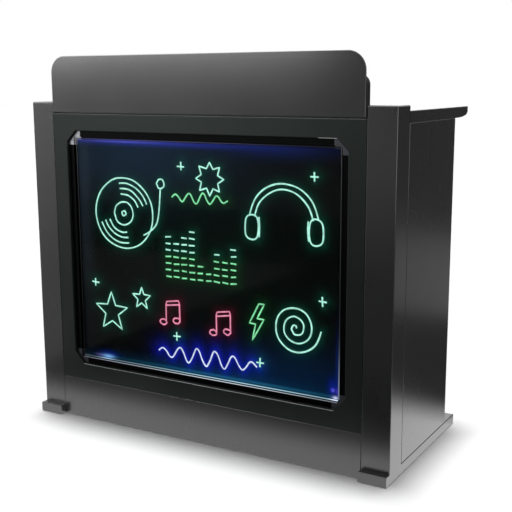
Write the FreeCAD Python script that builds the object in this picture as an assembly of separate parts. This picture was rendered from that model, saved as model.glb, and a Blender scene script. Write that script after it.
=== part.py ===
"""DJ booth: a black board carcass with a folding header and an edge-lit writing board.

Millimetres, +Z up, +X to the right of someone facing the booth, +Y towards the DJ.
The origin is on the floor, in the middle of the width and of the depth.
"""
import FreeCAD, Part
import math
import os

from FreeCAD import Vector

# Carcass
post_width = 80.0
post_depth = 82.0
post_rise = 14.0              # post above the worktop
post_edge_round = 3.0
post_top_round = 4.0
foot_toe = 21.0               # foot ahead of the front face
foot_rear = 508.0             # front face to the back end of the foot
foot_top = 29.0
foot_edge_round = 2.0
glide_height = 2.0
glide_radius = 14.0
glide_bevel = 0.8
glide_end_margin = 24.0       # end of the foot to the middle of its last glide
glides_per_foot = 3

# Boards
front_thickness = 18.0
kick_thickness = 18.0
header_thickness = 20.0
side_thickness = 18.0
shelf_thickness = 18.0
panel_edge_round = 2.0
seam_edge_round = 0.7         # where two boards meet in one face
panel_gap = 0.5               # between a front board and the post beside it
front_stile = 47.5            # front panel beside the cut-out
front_rail_low = 49.0         # front panel under the cut-out
front_rail_high = 48.5        # front panel over the cut-out
kick_bottom = 3.0
kick_height = 120.0
kick_seam_gap = 1.0
header_height = 160.5
header_lap = 15.5             # header below the top of the worktop
header_seam_gap = 3.0
header_corner_radius = 48.0
side_foot_gap = 1.2
side_edge_round = 1.5
side_rear = 428.0             # front face to the back edge of the side panel

# Worktop, shelf and their cleats
worktop_thickness = 30.0
worktop_rear = 536.0          # front face to the DJ's edge
worktop_nose_height = 15.5    # upright part of the DJ's edge
worktop_nose_run = 86.0       # length of the curve under the DJ's edge
worktop_edge_round = 2.0
worktop_fit = 0.4             # worktop to header and posts
shelf_top = 420.0
shelf_setback = 14.0          # shelf ahead of the side panel's back edge
shelf_fit = 0.5
cleat_width = 30.0
cleat_height = 30.0
cleat_edge_round = 4.0
cleat_end_margin = 12.0

# Fasteners
bolt_radius = 4.0
bolt_head_radius = 6.5
bolt_head_height = 5.0
bolt_length = 70.0
bolt_recess = 8.0             # depth of the counterbore under the foot
bolt_spread = 30.0            # between the two bolts of a post
bolt_fit = 0.25
screw_radius = 1.9
screw_head_radius = 3.6
screw_head_top_radius = 2.6
screw_head_height = 1.8
screw_fit = 0.05
bracket_leg = 32.0
bracket_width = 20.0
bracket_thickness = 2.0
bracket_bend = 2.5
bracket_hole_place = 20.0     # corner of the bracket to its hole
bracket_screw_length = 14.0
front_bracket_margin = 116.0  # end of the front panel to its bracket
side_bracket_margin = 180.0   # end of the side panel to its bracket
worktop_bracket_margin = 80.0  # post to the bracket under the worktop

# Header hinges
hinge_end_margin = 119.5      # end of the header to the middle of its last hinge
hinge_length = 72.0
hinge_leaf_width = 28.0       # from the hinge's axis
hinge_leaf_thickness = 2.0
hinge_knuckle_radius = 4.0
hinge_knuckle_gap = 0.3
hinge_clearance = 0.3         # knuckle to the boards beside it
hinge_recess_fit = 0.3        # leaf and pin to the recess in the worktop
hinge_pin_radius = 2.0
hinge_pin_fit = 0.05
hinge_pin_head_radius = 3.2
hinge_pin_head = 1.2
hinge_screw_spread = 48.0
hinge_screw_place = 18.0      # hinge axis to the screws
hinge_screw_length = 14.0
buffer_radius = 9.0
buffer_top_radius = 7.5
buffer_fit = 0.3              # buffer to the worktop with the header folded
buffer_side_margin = 70.0
buffer_top_margin = 32.0

# Writing board
board_width = 900.0
board_height = 702.0
board_fit = 2.0               # board to the cut-out, all round
board_corner = 32.0           # leg of the chamfer on the corners
frame_setback = 9.5           # frame behind the front panel's face
frame_face = 16.5             # width of the raised face
frame_lip = 2.2               # each side of the channel in the face
frame_channel = 0.8
frame_front_wall = 2.2
frame_wall = 1.6
frame_step = 8.0              # width of the lower inner lip
frame_step_drop = 6.0         # inner lip behind the raised face
frame_step_thickness = 1.5
frame_rear_lip = 14.0
corner_arm = 40.0             # length of a corner piece along each bar
corner_wall = 3.0
corner_proud = 0.5            # corner piece ahead of the bars
corner_tenon = 16.0
corner_tenon_fit = 0.3
sheet_thickness = 5.0
sheet_inset = 5.0             # sheet edge inside the frame's outer edge
sheet_fit = 0.2
backing_thickness = 3.0
strip_width = 8.0
strip_thickness = 0.5
strip_end_margin = 4.0
chip_size = 4.0
chip_height = 1.4
chip_pitch = 50.0
clip_width = 20.0
clip_thickness = 2.0
clip_foot = 22.0
clip_tab = 12.0
clip_gap = 2.0                # clip outside the cut-out
clip_screw_length = 12.0
clip_end_margin = 160.0       # end of the board to the middle of a clip

# Controller
case_width = 120.0
case_height = 60.0
case_depth = 20.0
case_wall = 2.0
case_corner_round = 6.0
case_side_margin = 200.0      # side of the board to the middle of the case
case_top_margin = 217.0       # top of the board to the middle of the case
cover_thickness = 3.0
cover_bevel = 1.0
boss_radius = 3.4
boss_margin = 7.0             # outside of the case to the middle of a boss
cover_screw_length = 12.0
rib_height = 4.0
rib_thickness = 2.0
rib_spread = 28.0
rib_length = 80.0
circuit_side_margin = 13.0    # end of the case to the circuit board
circuit_edge_margin = 11.0    # long side of the case to the circuit board
circuit_thickness = 1.6
switch_size = 6.0
switch_height = 4.0
switch_plunger_radius = 1.7
switch_plunger_height = 1.0
button_radius = 4.5
button_fit = 0.3
button_stand = 2.5            # cap above the cover
button_dish_radius = 3.2
button_dish_depth = 0.5
button_bevel = 0.6
button_collar_width = 1.6
button_collar_thickness = 1.2
button_stem_radius = 2.0
button_travel = 1.2
button_pitch = 24.0
button_row_shift = -10.0      # middle button, from the middle of the case
window_radius = 2.5
window_margin = 18.0          # end of the case to the middle of the window
window_stand = 0.6
window_bevel = 0.5
window_fit = 0.1
inlet_width = 9.0
inlet_height = 10.0
inlet_length = 13.0
inlet_nose_radius = 4.0
inlet_bore_radius = 3.2
inlet_bore_depth = 9.0
inlet_pin_radius = 1.0
inlet_fit = 0.2
inlet_margin = 30.0           # end of the case to the middle of the inlet

# Places worked out from the sizes
depth_behind = max(worktop_rear, foot_rear)
front_y = (foot_toe - depth_behind) / 2
board_half_width = board_width / 2
board_half_height = board_height / 2
front_reach = board_half_width + board_fit + front_stile
post_inner = front_reach + panel_gap
half_width = post_inner + post_width
booth_width = 2 * half_width
kick_seam = kick_bottom + kick_height
front_bottom = kick_seam + kick_seam_gap
board_bottom = front_bottom + front_rail_low + board_fit
board_middle = board_bottom + board_half_height
board_top = board_bottom + board_height
front_top = board_top + board_fit + front_rail_high
header_seam = front_top + header_seam_gap
header_top = header_seam + header_height
worktop_top = header_seam + header_lap
post_top = worktop_top + post_rise
post_back_y = front_y + post_depth
front_back_y = front_y + front_thickness
side_inner = half_width - side_thickness
side_back_y = front_y + side_rear
worktop_bottom = worktop_top - worktop_thickness
header_back_y = front_y + header_thickness
hinge_offset = hinge_knuckle_radius + hinge_clearance
hinge_y = header_back_y + hinge_offset
hinge_seat = worktop_top - hinge_leaf_thickness
hinge_z = hinge_seat + hinge_offset
hinge_places = [side * (front_reach - hinge_end_margin) for side in (-1, 0, 1)]
frame_y = front_y + frame_setback
sheet_front = frame_step_drop + frame_step_thickness
backing_front = sheet_front + sheet_thickness
sheets_back = backing_front + backing_thickness
frame_depth = sheets_back + sheet_fit + frame_wall
case_front_y = frame_y + sheets_back
cover_y = case_front_y + case_depth
circuit_y = case_front_y + case_wall + rib_height
circuit_back_y = circuit_y + circuit_thickness
case_place = board_half_width - case_side_margin
case_level = board_top - case_top_margin
window_x = case_place + case_width / 2 - window_margin
inlet_x = case_place - case_width / 2 + inlet_margin
button_places = [case_place + button_row_shift + step * button_pitch for step in (-1, 0, 1)]

LEFT = Vector(-1, 0, 0)
BACK = Vector(0, 1, 0)
FRONT = Vector(0, -1, 0)
UP = Vector(0, 0, 1)
DOWN = Vector(0, 0, -1)
CENTRE = Vector(0, 0, 0)
near = 1e-3                   # how far apart two levels may be and still count as one


def block(low, high):
    """Box between two opposite corners."""
    size = Vector(*high) - Vector(*low)
    return Part.makeBox(size.x, size.y, size.z, Vector(*low))


def prism(points, run):
    """Solid from a closed outline of corner points, extruded along a vector."""
    return Part.Face(Part.makePolygon(points + points[:1])).extrude(run)


def rod(radius, start, run):
    """Cylinder from a start point along a vector."""
    return Part.makeCylinder(radius, run.Length, start, run)


def mirrored(shape):
    """The same piece on the other side of the booth."""
    return shape.mirror(CENTRE, Vector(1, 0, 0))


def edges_on(shape, axis, level):
    """Edges that lie wholly in the plane where one coordinate has the given level."""
    found = []
    for edge in shape.Edges:
        box = edge.BoundBox
        low = (box.XMin, box.YMin, box.ZMin)[axis]
        high = (box.XMax, box.YMax, box.ZMax)[axis]
        if abs(low - level) < near and abs(high - level) < near:
            found.append(edge)
    return found


def edges_along(shape, axis):
    """Straight edges parallel to one axis."""
    found = []
    for edge in shape.Edges:
        box = edge.BoundBox
        spans = [box.XLength, box.YLength, box.ZLength]
        length = spans.pop(axis)
        if length > near and max(spans) < near:
            found.append(edge)
    return found


def turned(shape, origin, x_axis, z_axis):
    """Move a piece modelled at the origin to a place, with its own X and Z axes turned."""
    rotation = FreeCAD.Rotation(x_axis, z_axis.cross(x_axis), z_axis, "ZXY")
    return shape.transformed(FreeCAD.Placement(origin, rotation).toMatrix())


def screw(head_seat, run):
    """Pan head screw: the head lies on its seat and the shank follows the vector."""
    out = run * (-1.0 / run.Length)
    shank = rod(screw_radius, head_seat, run)
    head = Part.makeCone(screw_head_radius, screw_head_top_radius, screw_head_height, head_seat, out)
    return head.fuse(shank)


def screw_hole(head_seat, run):
    """Hole that a screw of the same place leaves in what it passes through."""
    return rod(screw_radius + screw_fit, head_seat, run * ((run.Length + screw_fit) / run.Length))


def drilled(shape, holes):
    """Cut every hole that reaches the piece."""
    for hole in holes:
        if shape.BoundBox.intersect(hole.BoundBox):
            shape = shape.cut(hole)
    return shape


# Feet and posts

def bolt_places():
    """Middles of the two bolts under the right post."""
    x = half_width - post_width / 2
    y = front_y + post_depth / 2
    return [Vector(x, y + side * bolt_spread / 2, glide_height) for side in (-1, 1)]


def right_foot():
    """Foot bar: plain under the post, with rounded top edges ahead of it and behind it."""
    toe_y = front_y - foot_toe
    rear_y = front_y + foot_rear
    toe = block((post_inner, toe_y, glide_height), (half_width, front_y, foot_top))
    ahead = [e for e in edges_on(toe, 2, foot_top) if e.BoundBox.YMin < front_y - near]
    toe = toe.makeFillet(foot_edge_round, ahead)
    middle = block((post_inner, front_y, glide_height), (half_width, post_back_y, foot_top))
    tail = block((post_inner, post_back_y, glide_height), (half_width, rear_y, foot_top))
    behind = [e for e in edges_on(tail, 2, foot_top) if e.BoundBox.YMax > post_back_y + near]
    tail = tail.makeFillet(foot_edge_round, behind)
    foot = toe.fuse([middle, tail]).removeSplitter()
    for place in bolt_places():
        foot = foot.cut(rod(bolt_head_radius + bolt_fit, place, UP * bolt_recess))
        foot = foot.cut(rod(bolt_radius + bolt_fit, place, UP * foot_top))
    return foot


def right_glides():
    """Rubber glides under one foot."""
    first = front_y - foot_toe + glide_end_margin
    last = front_y + foot_rear - glide_end_margin
    x = half_width - post_width / 2
    glides = []
    for step in range(glides_per_foot):
        y = first + (last - first) * step / (glides_per_foot - 1)
        glide = rod(glide_radius, Vector(x, y, 0), UP * glide_height)
        glides.append(glide.makeChamfer(glide_bevel, edges_on(glide, 2, 0)))
    return glides


def right_post():
    """Square post, rounded down its edges and round its top."""
    post = block((post_inner, front_y, foot_top), (half_width, post_back_y, post_top))
    post = post.makeFillet(post_top_round, edges_on(post, 2, post_top))
    post = post.makeFillet(post_edge_round, edges_along(post, 2))
    for place in bolt_places():
        post = post.cut(rod(bolt_radius + bolt_fit, place, UP * (bolt_recess + bolt_length + bolt_fit)))
    return post


def right_foot_bolts():
    """Bolts from under the foot into the post."""
    bolts = []
    for place in bolt_places():
        seat = place + UP * bolt_recess
        head = rod(bolt_head_radius, seat, DOWN * bolt_head_height)
        bolts.append(head.fuse(rod(bolt_radius, seat, UP * bolt_length)))
    return bolts


# Boards

def right_side_panel():
    """Side panel behind the post, flush with its outer face, with its outer edges eased."""
    panel = block(
        (side_inner, post_back_y, foot_top + side_foot_gap),
        (half_width, side_back_y, worktop_bottom),
    )
    return panel.makeFillet(side_edge_round, edges_on(panel, 0, half_width))


def board_between_posts(bottom, top, thickness):
    """Plain board between the posts, flush with their front faces."""
    return block((-front_reach, front_y, bottom), (front_reach, front_y + thickness, top))


def board_outline(grow, corner):
    """Corner points of the writing board's outline, grown all round, with chamfered corners."""
    x = board_half_width + grow
    z = board_half_height + grow
    quarter = [(x, z - corner), (x - corner, z)]
    points = []
    for across, up in ((1, 1), (-1, 1), (-1, -1), (1, -1)):
        ends = quarter if across * up > 0 else quarter[::-1]
        points += [Vector(across * px, 0, board_middle + up * pz) for px, pz in ends]
    return points


def front_panel():
    """Front panel with fine edges, and rounder ones under and beside the writing board."""
    panel = board_between_posts(front_bottom, front_top, front_thickness)
    panel = panel.makeFillet(seam_edge_round, edges_on(panel, 1, front_y))
    points = [point + BACK * front_y for point in board_outline(board_fit, board_corner)]
    panel = panel.cut(prism(points, BACK * front_thickness))
    straight = 2 * board_corner
    sides = [e for e in rim_edges(panel) if e.Length > straight and e.BoundBox.ZMin < board_middle]
    panel = panel.makeFillet(panel_edge_round, sides)
    top = [e for e in rim_edges(panel) if e.Length > straight and e.BoundBox.ZMin > board_middle]
    panel = panel.makeFillet(seam_edge_round, top)
    corners = [e for e in rim_edges(panel) if board_corner / 2 < e.Length < straight]
    return panel.makeFillet(seam_edge_round, corners)


def rim_edges(panel):
    """Edges of the front panel's face that run round the cut-out and not round the outside."""
    across = board_half_width + board_fit + near
    up = board_half_height + board_fit + near
    middles = [(e, e.BoundBox.Center) for e in edges_on(panel, 1, front_y)]
    return [e for e, at in middles if abs(at.x) < across and abs(at.z - board_middle) < up]


def kick_panel():
    """Kick panel between the feet."""
    panel = board_between_posts(kick_bottom, kick_seam, kick_thickness)
    return panel.makeFillet(seam_edge_round, edges_on(panel, 1, front_y))


def header_panel():
    """Header with two rounded top corners and eased edges."""
    panel = board_between_posts(header_seam, header_top, header_thickness)
    corners = [e for e in edges_along(panel, 1) if e.BoundBox.ZMax > header_top - near]
    panel = panel.makeFillet(header_corner_radius, corners)
    faces = edges_on(panel, 1, front_y) + edges_on(panel, 1, header_back_y)
    return panel.makeFillet(panel_edge_round, faces)


def worktop():
    """Worktop with a tongue between the posts, hinge recesses and a long curve under the DJ's edge."""
    rear_y = front_y + worktop_rear
    start_y = post_back_y + worktop_fit
    curve_y = rear_y - worktop_nose_run
    nose_z = worktop_top - worktop_nose_height
    nose = Part.Ellipse(
        Vector(-half_width, rear_y, nose_z),
        Vector(-half_width, curve_y, worktop_bottom),
        Vector(-half_width, curve_y, nose_z),
    )
    corners = [
        Vector(-half_width, curve_y, worktop_bottom),
        Vector(-half_width, start_y, worktop_bottom),
        Vector(-half_width, start_y, worktop_top),
        Vector(-half_width, rear_y, worktop_top),
        Vector(-half_width, rear_y, nose_z),
    ]
    section = [Part.ArcOfEllipse(nose, 0, math.pi / 2).toShape(), Part.makePolygon(corners)]
    slab = Part.Face(Part.Wire(section)).extrude(Vector(booth_width, 0, 0))
    slab = slab.makeFillet(worktop_edge_round, edges_on(slab, 2, worktop_top))
    reach = post_inner - worktop_fit
    tongue = block(
        (-reach, header_back_y + worktop_fit, worktop_bottom),
        (reach, start_y + worktop_edge_round, worktop_top),
    )
    slab = slab.fuse(tongue).removeSplitter()
    for place in hinge_places:
        slab = slab.cut(hinge_recess(place))
    return slab


def hinge_recess(place):
    """Recess that lets a hinge into the front edge of the worktop."""
    reach = hinge_length / 2 + hinge_pin_head + hinge_recess_fit
    back_y = hinge_y + hinge_leaf_width + hinge_recess_fit
    return block((place - reach, header_back_y, hinge_seat), (place + reach, back_y, worktop_top))


def lower_shelf():
    """Shelf between the side panels."""
    reach = side_inner - shelf_fit
    shelf = block(
        (-reach, post_back_y + shelf_fit, shelf_top - shelf_thickness),
        (reach, side_back_y - shelf_setback, shelf_top),
    )
    back = [e for e in edges_along(shelf, 0) if e.BoundBox.YMax > side_back_y - shelf_setback - near]
    return shelf.makeFillet(panel_edge_round, back)


def right_cleat(top):
    """Batten along the side panel, under the board that it carries."""
    cleat = block(
        (side_inner - cleat_width, post_back_y + cleat_end_margin, top - cleat_height),
        (side_inner, side_back_y - shelf_setback - cleat_end_margin, top),
    )
    low_edges = [e for e in edges_along(cleat, 1) if e.BoundBox.ZMax < top - near]
    inner_edges = [e for e in low_edges if e.BoundBox.XMax < side_inner - near]
    return cleat.makeFillet(cleat_edge_round, inner_edges)


# Angle brackets

def bracket():
    """Angle bracket whose outer faces lie on X = 0 and Z = 0, with a hole in each leg."""
    half = bracket_width / 2
    points = [
        (0, 0),
        (bracket_leg, 0),
        (bracket_leg, bracket_thickness),
        (bracket_thickness, bracket_thickness),
        (bracket_thickness, bracket_leg),
        (0, bracket_leg),
    ]
    shape = prism([Vector(x, -half, z) for x, z in points], BACK * bracket_width)
    flat = edges_on(shape, 0, bracket_thickness)
    inside = [e for e in flat if abs(e.BoundBox.ZMax - bracket_thickness) < near]
    shape = shape.makeFillet(bracket_bend, inside)
    return drilled(shape, [screw_hole(seat, run) for seat, run in bracket_screw_runs()])


def bracket_screw_runs():
    """Head seat and shank of the two screws of a bracket."""
    flat = Vector(bracket_hole_place, 0, bracket_thickness)
    upright = Vector(bracket_thickness, 0, bracket_hole_place)
    return [(flat, DOWN * bracket_screw_length), (upright, LEFT * bracket_screw_length)]


def bracket_seats():
    """Corner, X axis and Z axis of every bracket on the right, and of those under the worktop."""
    front_levels = (front_bottom + front_bracket_margin, front_top - front_bracket_margin)
    kick_level = (kick_bottom + kick_seam) / 2
    side_levels = (foot_top + side_foot_gap + side_bracket_margin, worktop_bottom - side_bracket_margin)
    side_middle_y = (post_back_y + side_back_y) / 2
    seats = [(Vector(post_inner, front_back_y, z), LEFT, BACK) for z in front_levels]
    seats.append((Vector(post_inner, front_y + kick_thickness, kick_level), LEFT, BACK))
    seats += [(Vector(side_inner, post_back_y, z), LEFT, BACK) for z in side_levels]
    seats.append((Vector(side_inner, side_middle_y, foot_top), LEFT, UP))
    seats.append((Vector(post_inner - worktop_bracket_margin, front_back_y, worktop_bottom), BACK, DOWN))
    return seats


def at_brackets(shape):
    """Copies of a piece at every bracket on both sides."""
    right = [turned(shape, *seat) for seat in bracket_seats()]
    return right + [mirrored(copy) for copy in right]


def bracket_screws():
    """Screws of one bracket."""
    return Part.makeCompound([screw(seat, run) for seat, run in bracket_screw_runs()])


def bracket_holes():
    """Holes that the bracket screws leave in the boards."""
    return Part.makeCompound([screw_hole(seat, run) for seat, run in bracket_screw_runs()])


# Header hinges

def hinge_knuckles(place):
    """Start and length of the three knuckles along a hinge."""
    length = (hinge_length - 2 * hinge_knuckle_gap) / 3
    return [(place - hinge_length / 2 + step * (length + hinge_knuckle_gap), length) for step in range(3)]


def hinge_leaf(place, plate, owned, notch):
    """Leaf: a plate cleared round the other leaf's knuckles, with its own knuckles bored for the pin."""
    for step, (start, length) in enumerate(hinge_knuckles(place)):
        low = Vector(start - hinge_knuckle_gap, hinge_y, hinge_z)
        if step in owned:
            knuckle = rod(hinge_knuckle_radius, Vector(start, hinge_y, hinge_z), Vector(length, 0, 0))
            plate = plate.fuse(knuckle)
        else:
            plate = plate.cut(notch(low, length + 2 * hinge_knuckle_gap))
    bore = rod(
        hinge_pin_radius + hinge_pin_fit,
        Vector(place - hinge_length, hinge_y, hinge_z),
        Vector(2 * hinge_length, 0, 0),
    )
    return plate.cut(bore)


def worktop_leaf(place):
    """Leaf that lies flush in the worktop, with the two outer knuckles."""
    half = hinge_length / 2
    clear = hinge_knuckle_radius + hinge_clearance
    plate = block(
        (place - half, hinge_y, hinge_seat),
        (place + half, hinge_y + hinge_leaf_width, worktop_top),
    )

    def notch(low, length):
        return block((low.x, hinge_y, hinge_seat), (low.x + length, hinge_y + clear, hinge_z))

    leaf = hinge_leaf(place, plate, (0, 2), notch)
    return drilled(leaf, [screw_hole(seat, run) for seat, run in worktop_leaf_screws(place)])


def header_leaf(place):
    """Leaf that lies on the back of the header, with the middle knuckle."""
    half = hinge_length / 2
    clear = hinge_knuckle_radius + hinge_clearance
    plate = block(
        (place - half, header_back_y, hinge_z),
        (place + half, header_back_y + hinge_leaf_thickness, hinge_z + hinge_leaf_width),
    )

    def notch(low, length):
        return block((low.x, header_back_y, hinge_z), (low.x + length, hinge_y, hinge_z + clear))

    leaf = hinge_leaf(place, plate, (1,), notch)
    return drilled(leaf, [screw_hole(seat, run) for seat, run in header_leaf_screws(place)])


def hinge_pin(place):
    """Pin with a flat head at each end."""
    half = hinge_length / 2
    pin = rod(hinge_pin_radius, Vector(place - half, hinge_y, hinge_z), Vector(hinge_length, 0, 0))
    for side in (-1, 1):
        pin = pin.fuse(rod(
            hinge_pin_head_radius,
            Vector(place + side * half, hinge_y, hinge_z),
            Vector(side * hinge_pin_head, 0, 0),
        ))
    return pin


def worktop_leaf_screws(place):
    """Head seat and shank of the screws that hold a leaf to the worktop."""
    y = hinge_y + hinge_screw_place
    run = DOWN * hinge_screw_length
    return [(Vector(place + side * hinge_screw_spread / 2, y, worktop_top), run) for side in (-1, 1)]


def header_leaf_screws(place):
    """Head seat and shank of the screws that hold a leaf to the header."""
    y = header_back_y + hinge_leaf_thickness
    z = hinge_z + hinge_screw_place
    run = FRONT * hinge_screw_length
    return [(Vector(place + side * hinge_screw_spread / 2, y, z), run) for side in (-1, 1)]


def header_buffers():
    """Rubber buffers on the back of the header that land on the worktop when it is folded."""
    height = 2 * hinge_offset - hinge_leaf_thickness - buffer_fit
    x = front_reach - buffer_side_margin
    z = header_top - buffer_top_margin
    seats = [Vector(side * x, header_back_y, z) for side in (-1, 1)]
    return [Part.makeCone(buffer_radius, buffer_top_radius, height, seat, BACK) for seat in seats]


# Writing board

def on_board_side(shape, side):
    """Put a piece modelled with the top bar's outer front edge at Z = 0 on one side of the board."""
    angle, x, z = {
        "top": (0, 0, board_half_height),
        "right": (90, board_half_width, 0),
        "bottom": (180, 0, -board_half_height),
        "left": (270, -board_half_width, 0),
    }[side]
    return shape.rotated(CENTRE, BACK, angle).translated(Vector(x, frame_y, board_middle + z))


def bar_length(side):
    """Length of a frame bar between its two corner pieces."""
    whole = board_width if side in ("top", "bottom") else board_height
    return whole - 2 * corner_arm


def frame_bar(side):
    """Extruded bar: raised face with a channel, lower inner lip, and a slot for the sheets."""
    web = frame_face - frame_wall
    profile = [
        (0, 0),
        (frame_lip, 0),
        (frame_lip, frame_channel),
        (frame_face - frame_lip, frame_channel),
        (frame_face - frame_lip, 0),
        (frame_face, 0),
        (frame_face, frame_step_drop),
        (frame_face + frame_step, frame_step_drop),
        (frame_face + frame_step, sheet_front),
        (web, sheet_front),
        (web, frame_front_wall),
        (frame_wall, frame_front_wall),
        (frame_wall, frame_depth - frame_wall),
        (frame_rear_lip, frame_depth - frame_wall),
        (frame_rear_lip, frame_depth),
        (0, frame_depth),
    ]
    length = bar_length(side)
    points = [Vector(-length / 2, depth, -inward) for inward, depth in profile]
    return on_board_side(prism(points, Vector(length, 0, 0)), side)


def corner_outline(width):
    """L-shaped outline of a corner piece with its outer corner cut off, as inward distances."""
    return [
        (board_corner, 0),
        (corner_arm, 0),
        (corner_arm, width),
        (width, width),
        (width, corner_arm),
        (0, corner_arm),
        (0, board_corner),
    ]


def corner_prism(points, start, end):
    """Solid on the top left corner of the board between two depths behind the frame's front."""
    places = [
        Vector(-board_half_width + across, frame_y + start, board_top - down)
        for across, down in points
    ]
    return prism(places, BACK * (end - start))


def sheet_outline(grow):
    """Outline of the sheets: inset in the frame, with the corners cut to clear the corner pieces."""
    inset = sheet_inset - grow
    cut = board_corner + corner_wall * math.sqrt(2) - 2 * sheet_inset
    return board_outline(-inset, cut + grow * (2 - math.sqrt(2)))


def sheet(start, thickness, grow=0.0):
    """Sheet of the board between two depths behind the frame's front."""
    points = [point + BACK * (frame_y + start) for point in sheet_outline(grow)]
    return prism(points, BACK * thickness)


def top_left_corner():
    """Corner piece: raised and lower lips as on the bars, a pocket for the sheets and two tenons."""
    piece = corner_prism(corner_outline(frame_face), -corner_proud, frame_depth)
    piece = piece.fuse(corner_prism(corner_outline(frame_face + frame_step), frame_step_drop, frame_depth))
    piece = piece.cut(sheet(sheet_front, sheets_back + sheet_fit - sheet_front, sheet_fit))
    edge = frame_wall + strip_thickness + chip_height + corner_tenon_fit
    far = frame_face - frame_wall - corner_tenon_fit
    tip = corner_arm + corner_tenon
    tenon = [(corner_arm, edge), (tip, edge), (tip, far), (corner_arm, far)]
    front = frame_front_wall + corner_tenon_fit
    back = sheet_front - corner_tenon_fit
    piece = piece.fuse(corner_prism(tenon, front, back))
    piece = piece.fuse(corner_prism([(down, across) for across, down in tenon], front, back))
    return piece.removeSplitter()


def board_corners():
    """The four corner pieces by name."""
    top_left = top_left_corner()
    middle = Vector(0, 0, board_middle)
    bottom_left = top_left.mirror(middle, UP)
    return {
        "board_corner_top_left": top_left,
        "board_corner_top_right": mirrored(top_left),
        "board_corner_bottom_left": bottom_left,
        "board_corner_bottom_right": mirrored(bottom_left),
    }


def light_strip(side):
    """Light strip on the inside of a bar's outer wall: a tape with a row of chips."""
    length = bar_length(side) - 2 * strip_end_margin
    middle = sheet_front + sheet_thickness / 2
    back = -frame_wall - strip_thickness
    tape = block(
        (-length / 2, middle - strip_width / 2, back),
        (length / 2, middle + strip_width / 2, -frame_wall),
    )
    count = int(length // chip_pitch)
    half = chip_size / 2
    chips = []
    for step in range(count):
        x = (step - (count - 1) / 2) * chip_pitch
        chips.append(block((x - half, middle - half, back - chip_height), (x + half, middle + half, back)))
    return on_board_side(tape.fuse(chips), side)


def clip_layout():
    """Side of the board and place along it of every clip."""
    reaches = {
        "top": board_half_width,
        "bottom": board_half_width,
        "left": board_half_height,
        "right": board_half_height,
    }
    return [
        (side, end * (reach - clip_end_margin))
        for side, reach in reaches.items()
        for end in (-1, 1)
    ]


def board_clip():
    """Bent clip that holds the frame to the back of the front panel, modelled over the top bar."""
    seat = front_thickness - frame_setback
    inner = board_fit + clip_gap
    outer = inner + clip_thickness
    points = [
        (outer + clip_foot, seat),
        (outer + clip_foot, seat + clip_thickness),
        (outer, seat + clip_thickness),
        (outer, frame_depth + clip_thickness),
        (-clip_tab, frame_depth + clip_thickness),
        (-clip_tab, frame_depth),
        (inner, frame_depth),
        (inner, seat),
    ]
    half = clip_width / 2
    clip = prism([Vector(-half, depth, up) for up, depth in points], Vector(clip_width, 0, 0))
    return drilled(clip, [screw_hole(*clip_screw_run())])


def clip_screw_run():
    """Head seat and shank of a clip's screw, modelled over the top bar."""
    up = board_fit + clip_gap + clip_thickness + clip_foot / 2
    depth = front_thickness - frame_setback + clip_thickness
    return Vector(0, depth, up), FRONT * clip_screw_length


def at_clips(shape):
    """Copies of a piece at every clip."""
    return [on_board_side(shape.translated(Vector(place, 0, 0)), side) for side, place in clip_layout()]


# Controller

def case_corner_places():
    """Middles of the four cover screws."""
    x = case_width / 2 - boss_margin
    z = case_height / 2 - boss_margin
    return [(case_place + across * x, case_level + up * z) for across in (-1, 1) for up in (-1, 1)]


def case_block(start, end, inset):
    """Rounded block of the case's outline, inset all round, between two Y levels."""
    x = case_width / 2 - inset
    z = case_height / 2 - inset
    shape = block((case_place - x, start, case_level - z), (case_place + x, end, case_level + z))
    return shape.makeFillet(case_corner_round - inset, edges_along(shape, 1))


def inlet_nose_place():
    """Middle of the inlet's mouth, on the underside of the case."""
    return Vector(inlet_x, circuit_back_y + inlet_height / 2, case_level - case_height / 2)


def controller_case():
    """Open case with bosses for the cover screws, ribs for the circuit board and a hole for the inlet."""
    case = case_block(case_front_y, cover_y, 0)
    case = case.cut(case_block(case_front_y + case_wall, cover_y + case_wall, case_wall))
    floor_y = case_front_y + case_wall
    boss = BACK * (case_depth - case_wall)
    solids = [rod(boss_radius, Vector(x, floor_y, z), boss) for x, z in case_corner_places()]
    for side in (-1, 1):
        z = case_level + side * rib_spread / 2
        solids.append(block(
            (case_place - rib_length / 2, floor_y, z - rib_thickness / 2),
            (case_place + rib_length / 2, circuit_y, z + rib_thickness / 2),
        ))
    case = case.fuse(solids).removeSplitter()
    case = case.cut(rod(inlet_nose_radius + inlet_fit, inlet_nose_place(), UP * case_wall))
    return drilled(case, [screw_hole(seat, run) for seat, run in cover_screw_runs()])


def cover_screw_runs():
    """Head seat and shank of the cover screws."""
    y = cover_y + cover_thickness
    return [(Vector(x, y, z), FRONT * cover_screw_length) for x, z in case_corner_places()]


def controller_cover():
    """Cover with holes for the buttons, the window and the screws."""
    cover = case_block(cover_y, cover_y + cover_thickness, 0)
    cover = cover.makeChamfer(cover_bevel, edges_on(cover, 1, cover_y + cover_thickness))
    through = BACK * cover_thickness
    for x in button_places:
        cover = cover.cut(rod(button_radius + button_fit, Vector(x, cover_y, case_level), through))
    window = Vector(window_x, cover_y, case_level)
    cover = cover.cut(rod(window_radius + window_fit, window, through))
    return drilled(cover, [screw_hole(seat, run) for seat, run in cover_screw_runs()])


def controller_circuit():
    """Circuit board on the ribs of the case."""
    x = case_width / 2 - circuit_side_margin
    z = case_height / 2 - circuit_edge_margin
    return block(
        (case_place - x, circuit_y, case_level - z),
        (case_place + x, circuit_back_y, case_level + z),
    )


def button_switch(x):
    """Switch on the circuit board, under a button."""
    half = switch_size / 2
    body = block(
        (x - half, circuit_back_y, case_level - half),
        (x + half, circuit_back_y + switch_height, case_level + half),
    )
    top = Vector(x, circuit_back_y + switch_height, case_level)
    return body.fuse(rod(switch_plunger_radius, top, BACK * switch_plunger_height))


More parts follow.
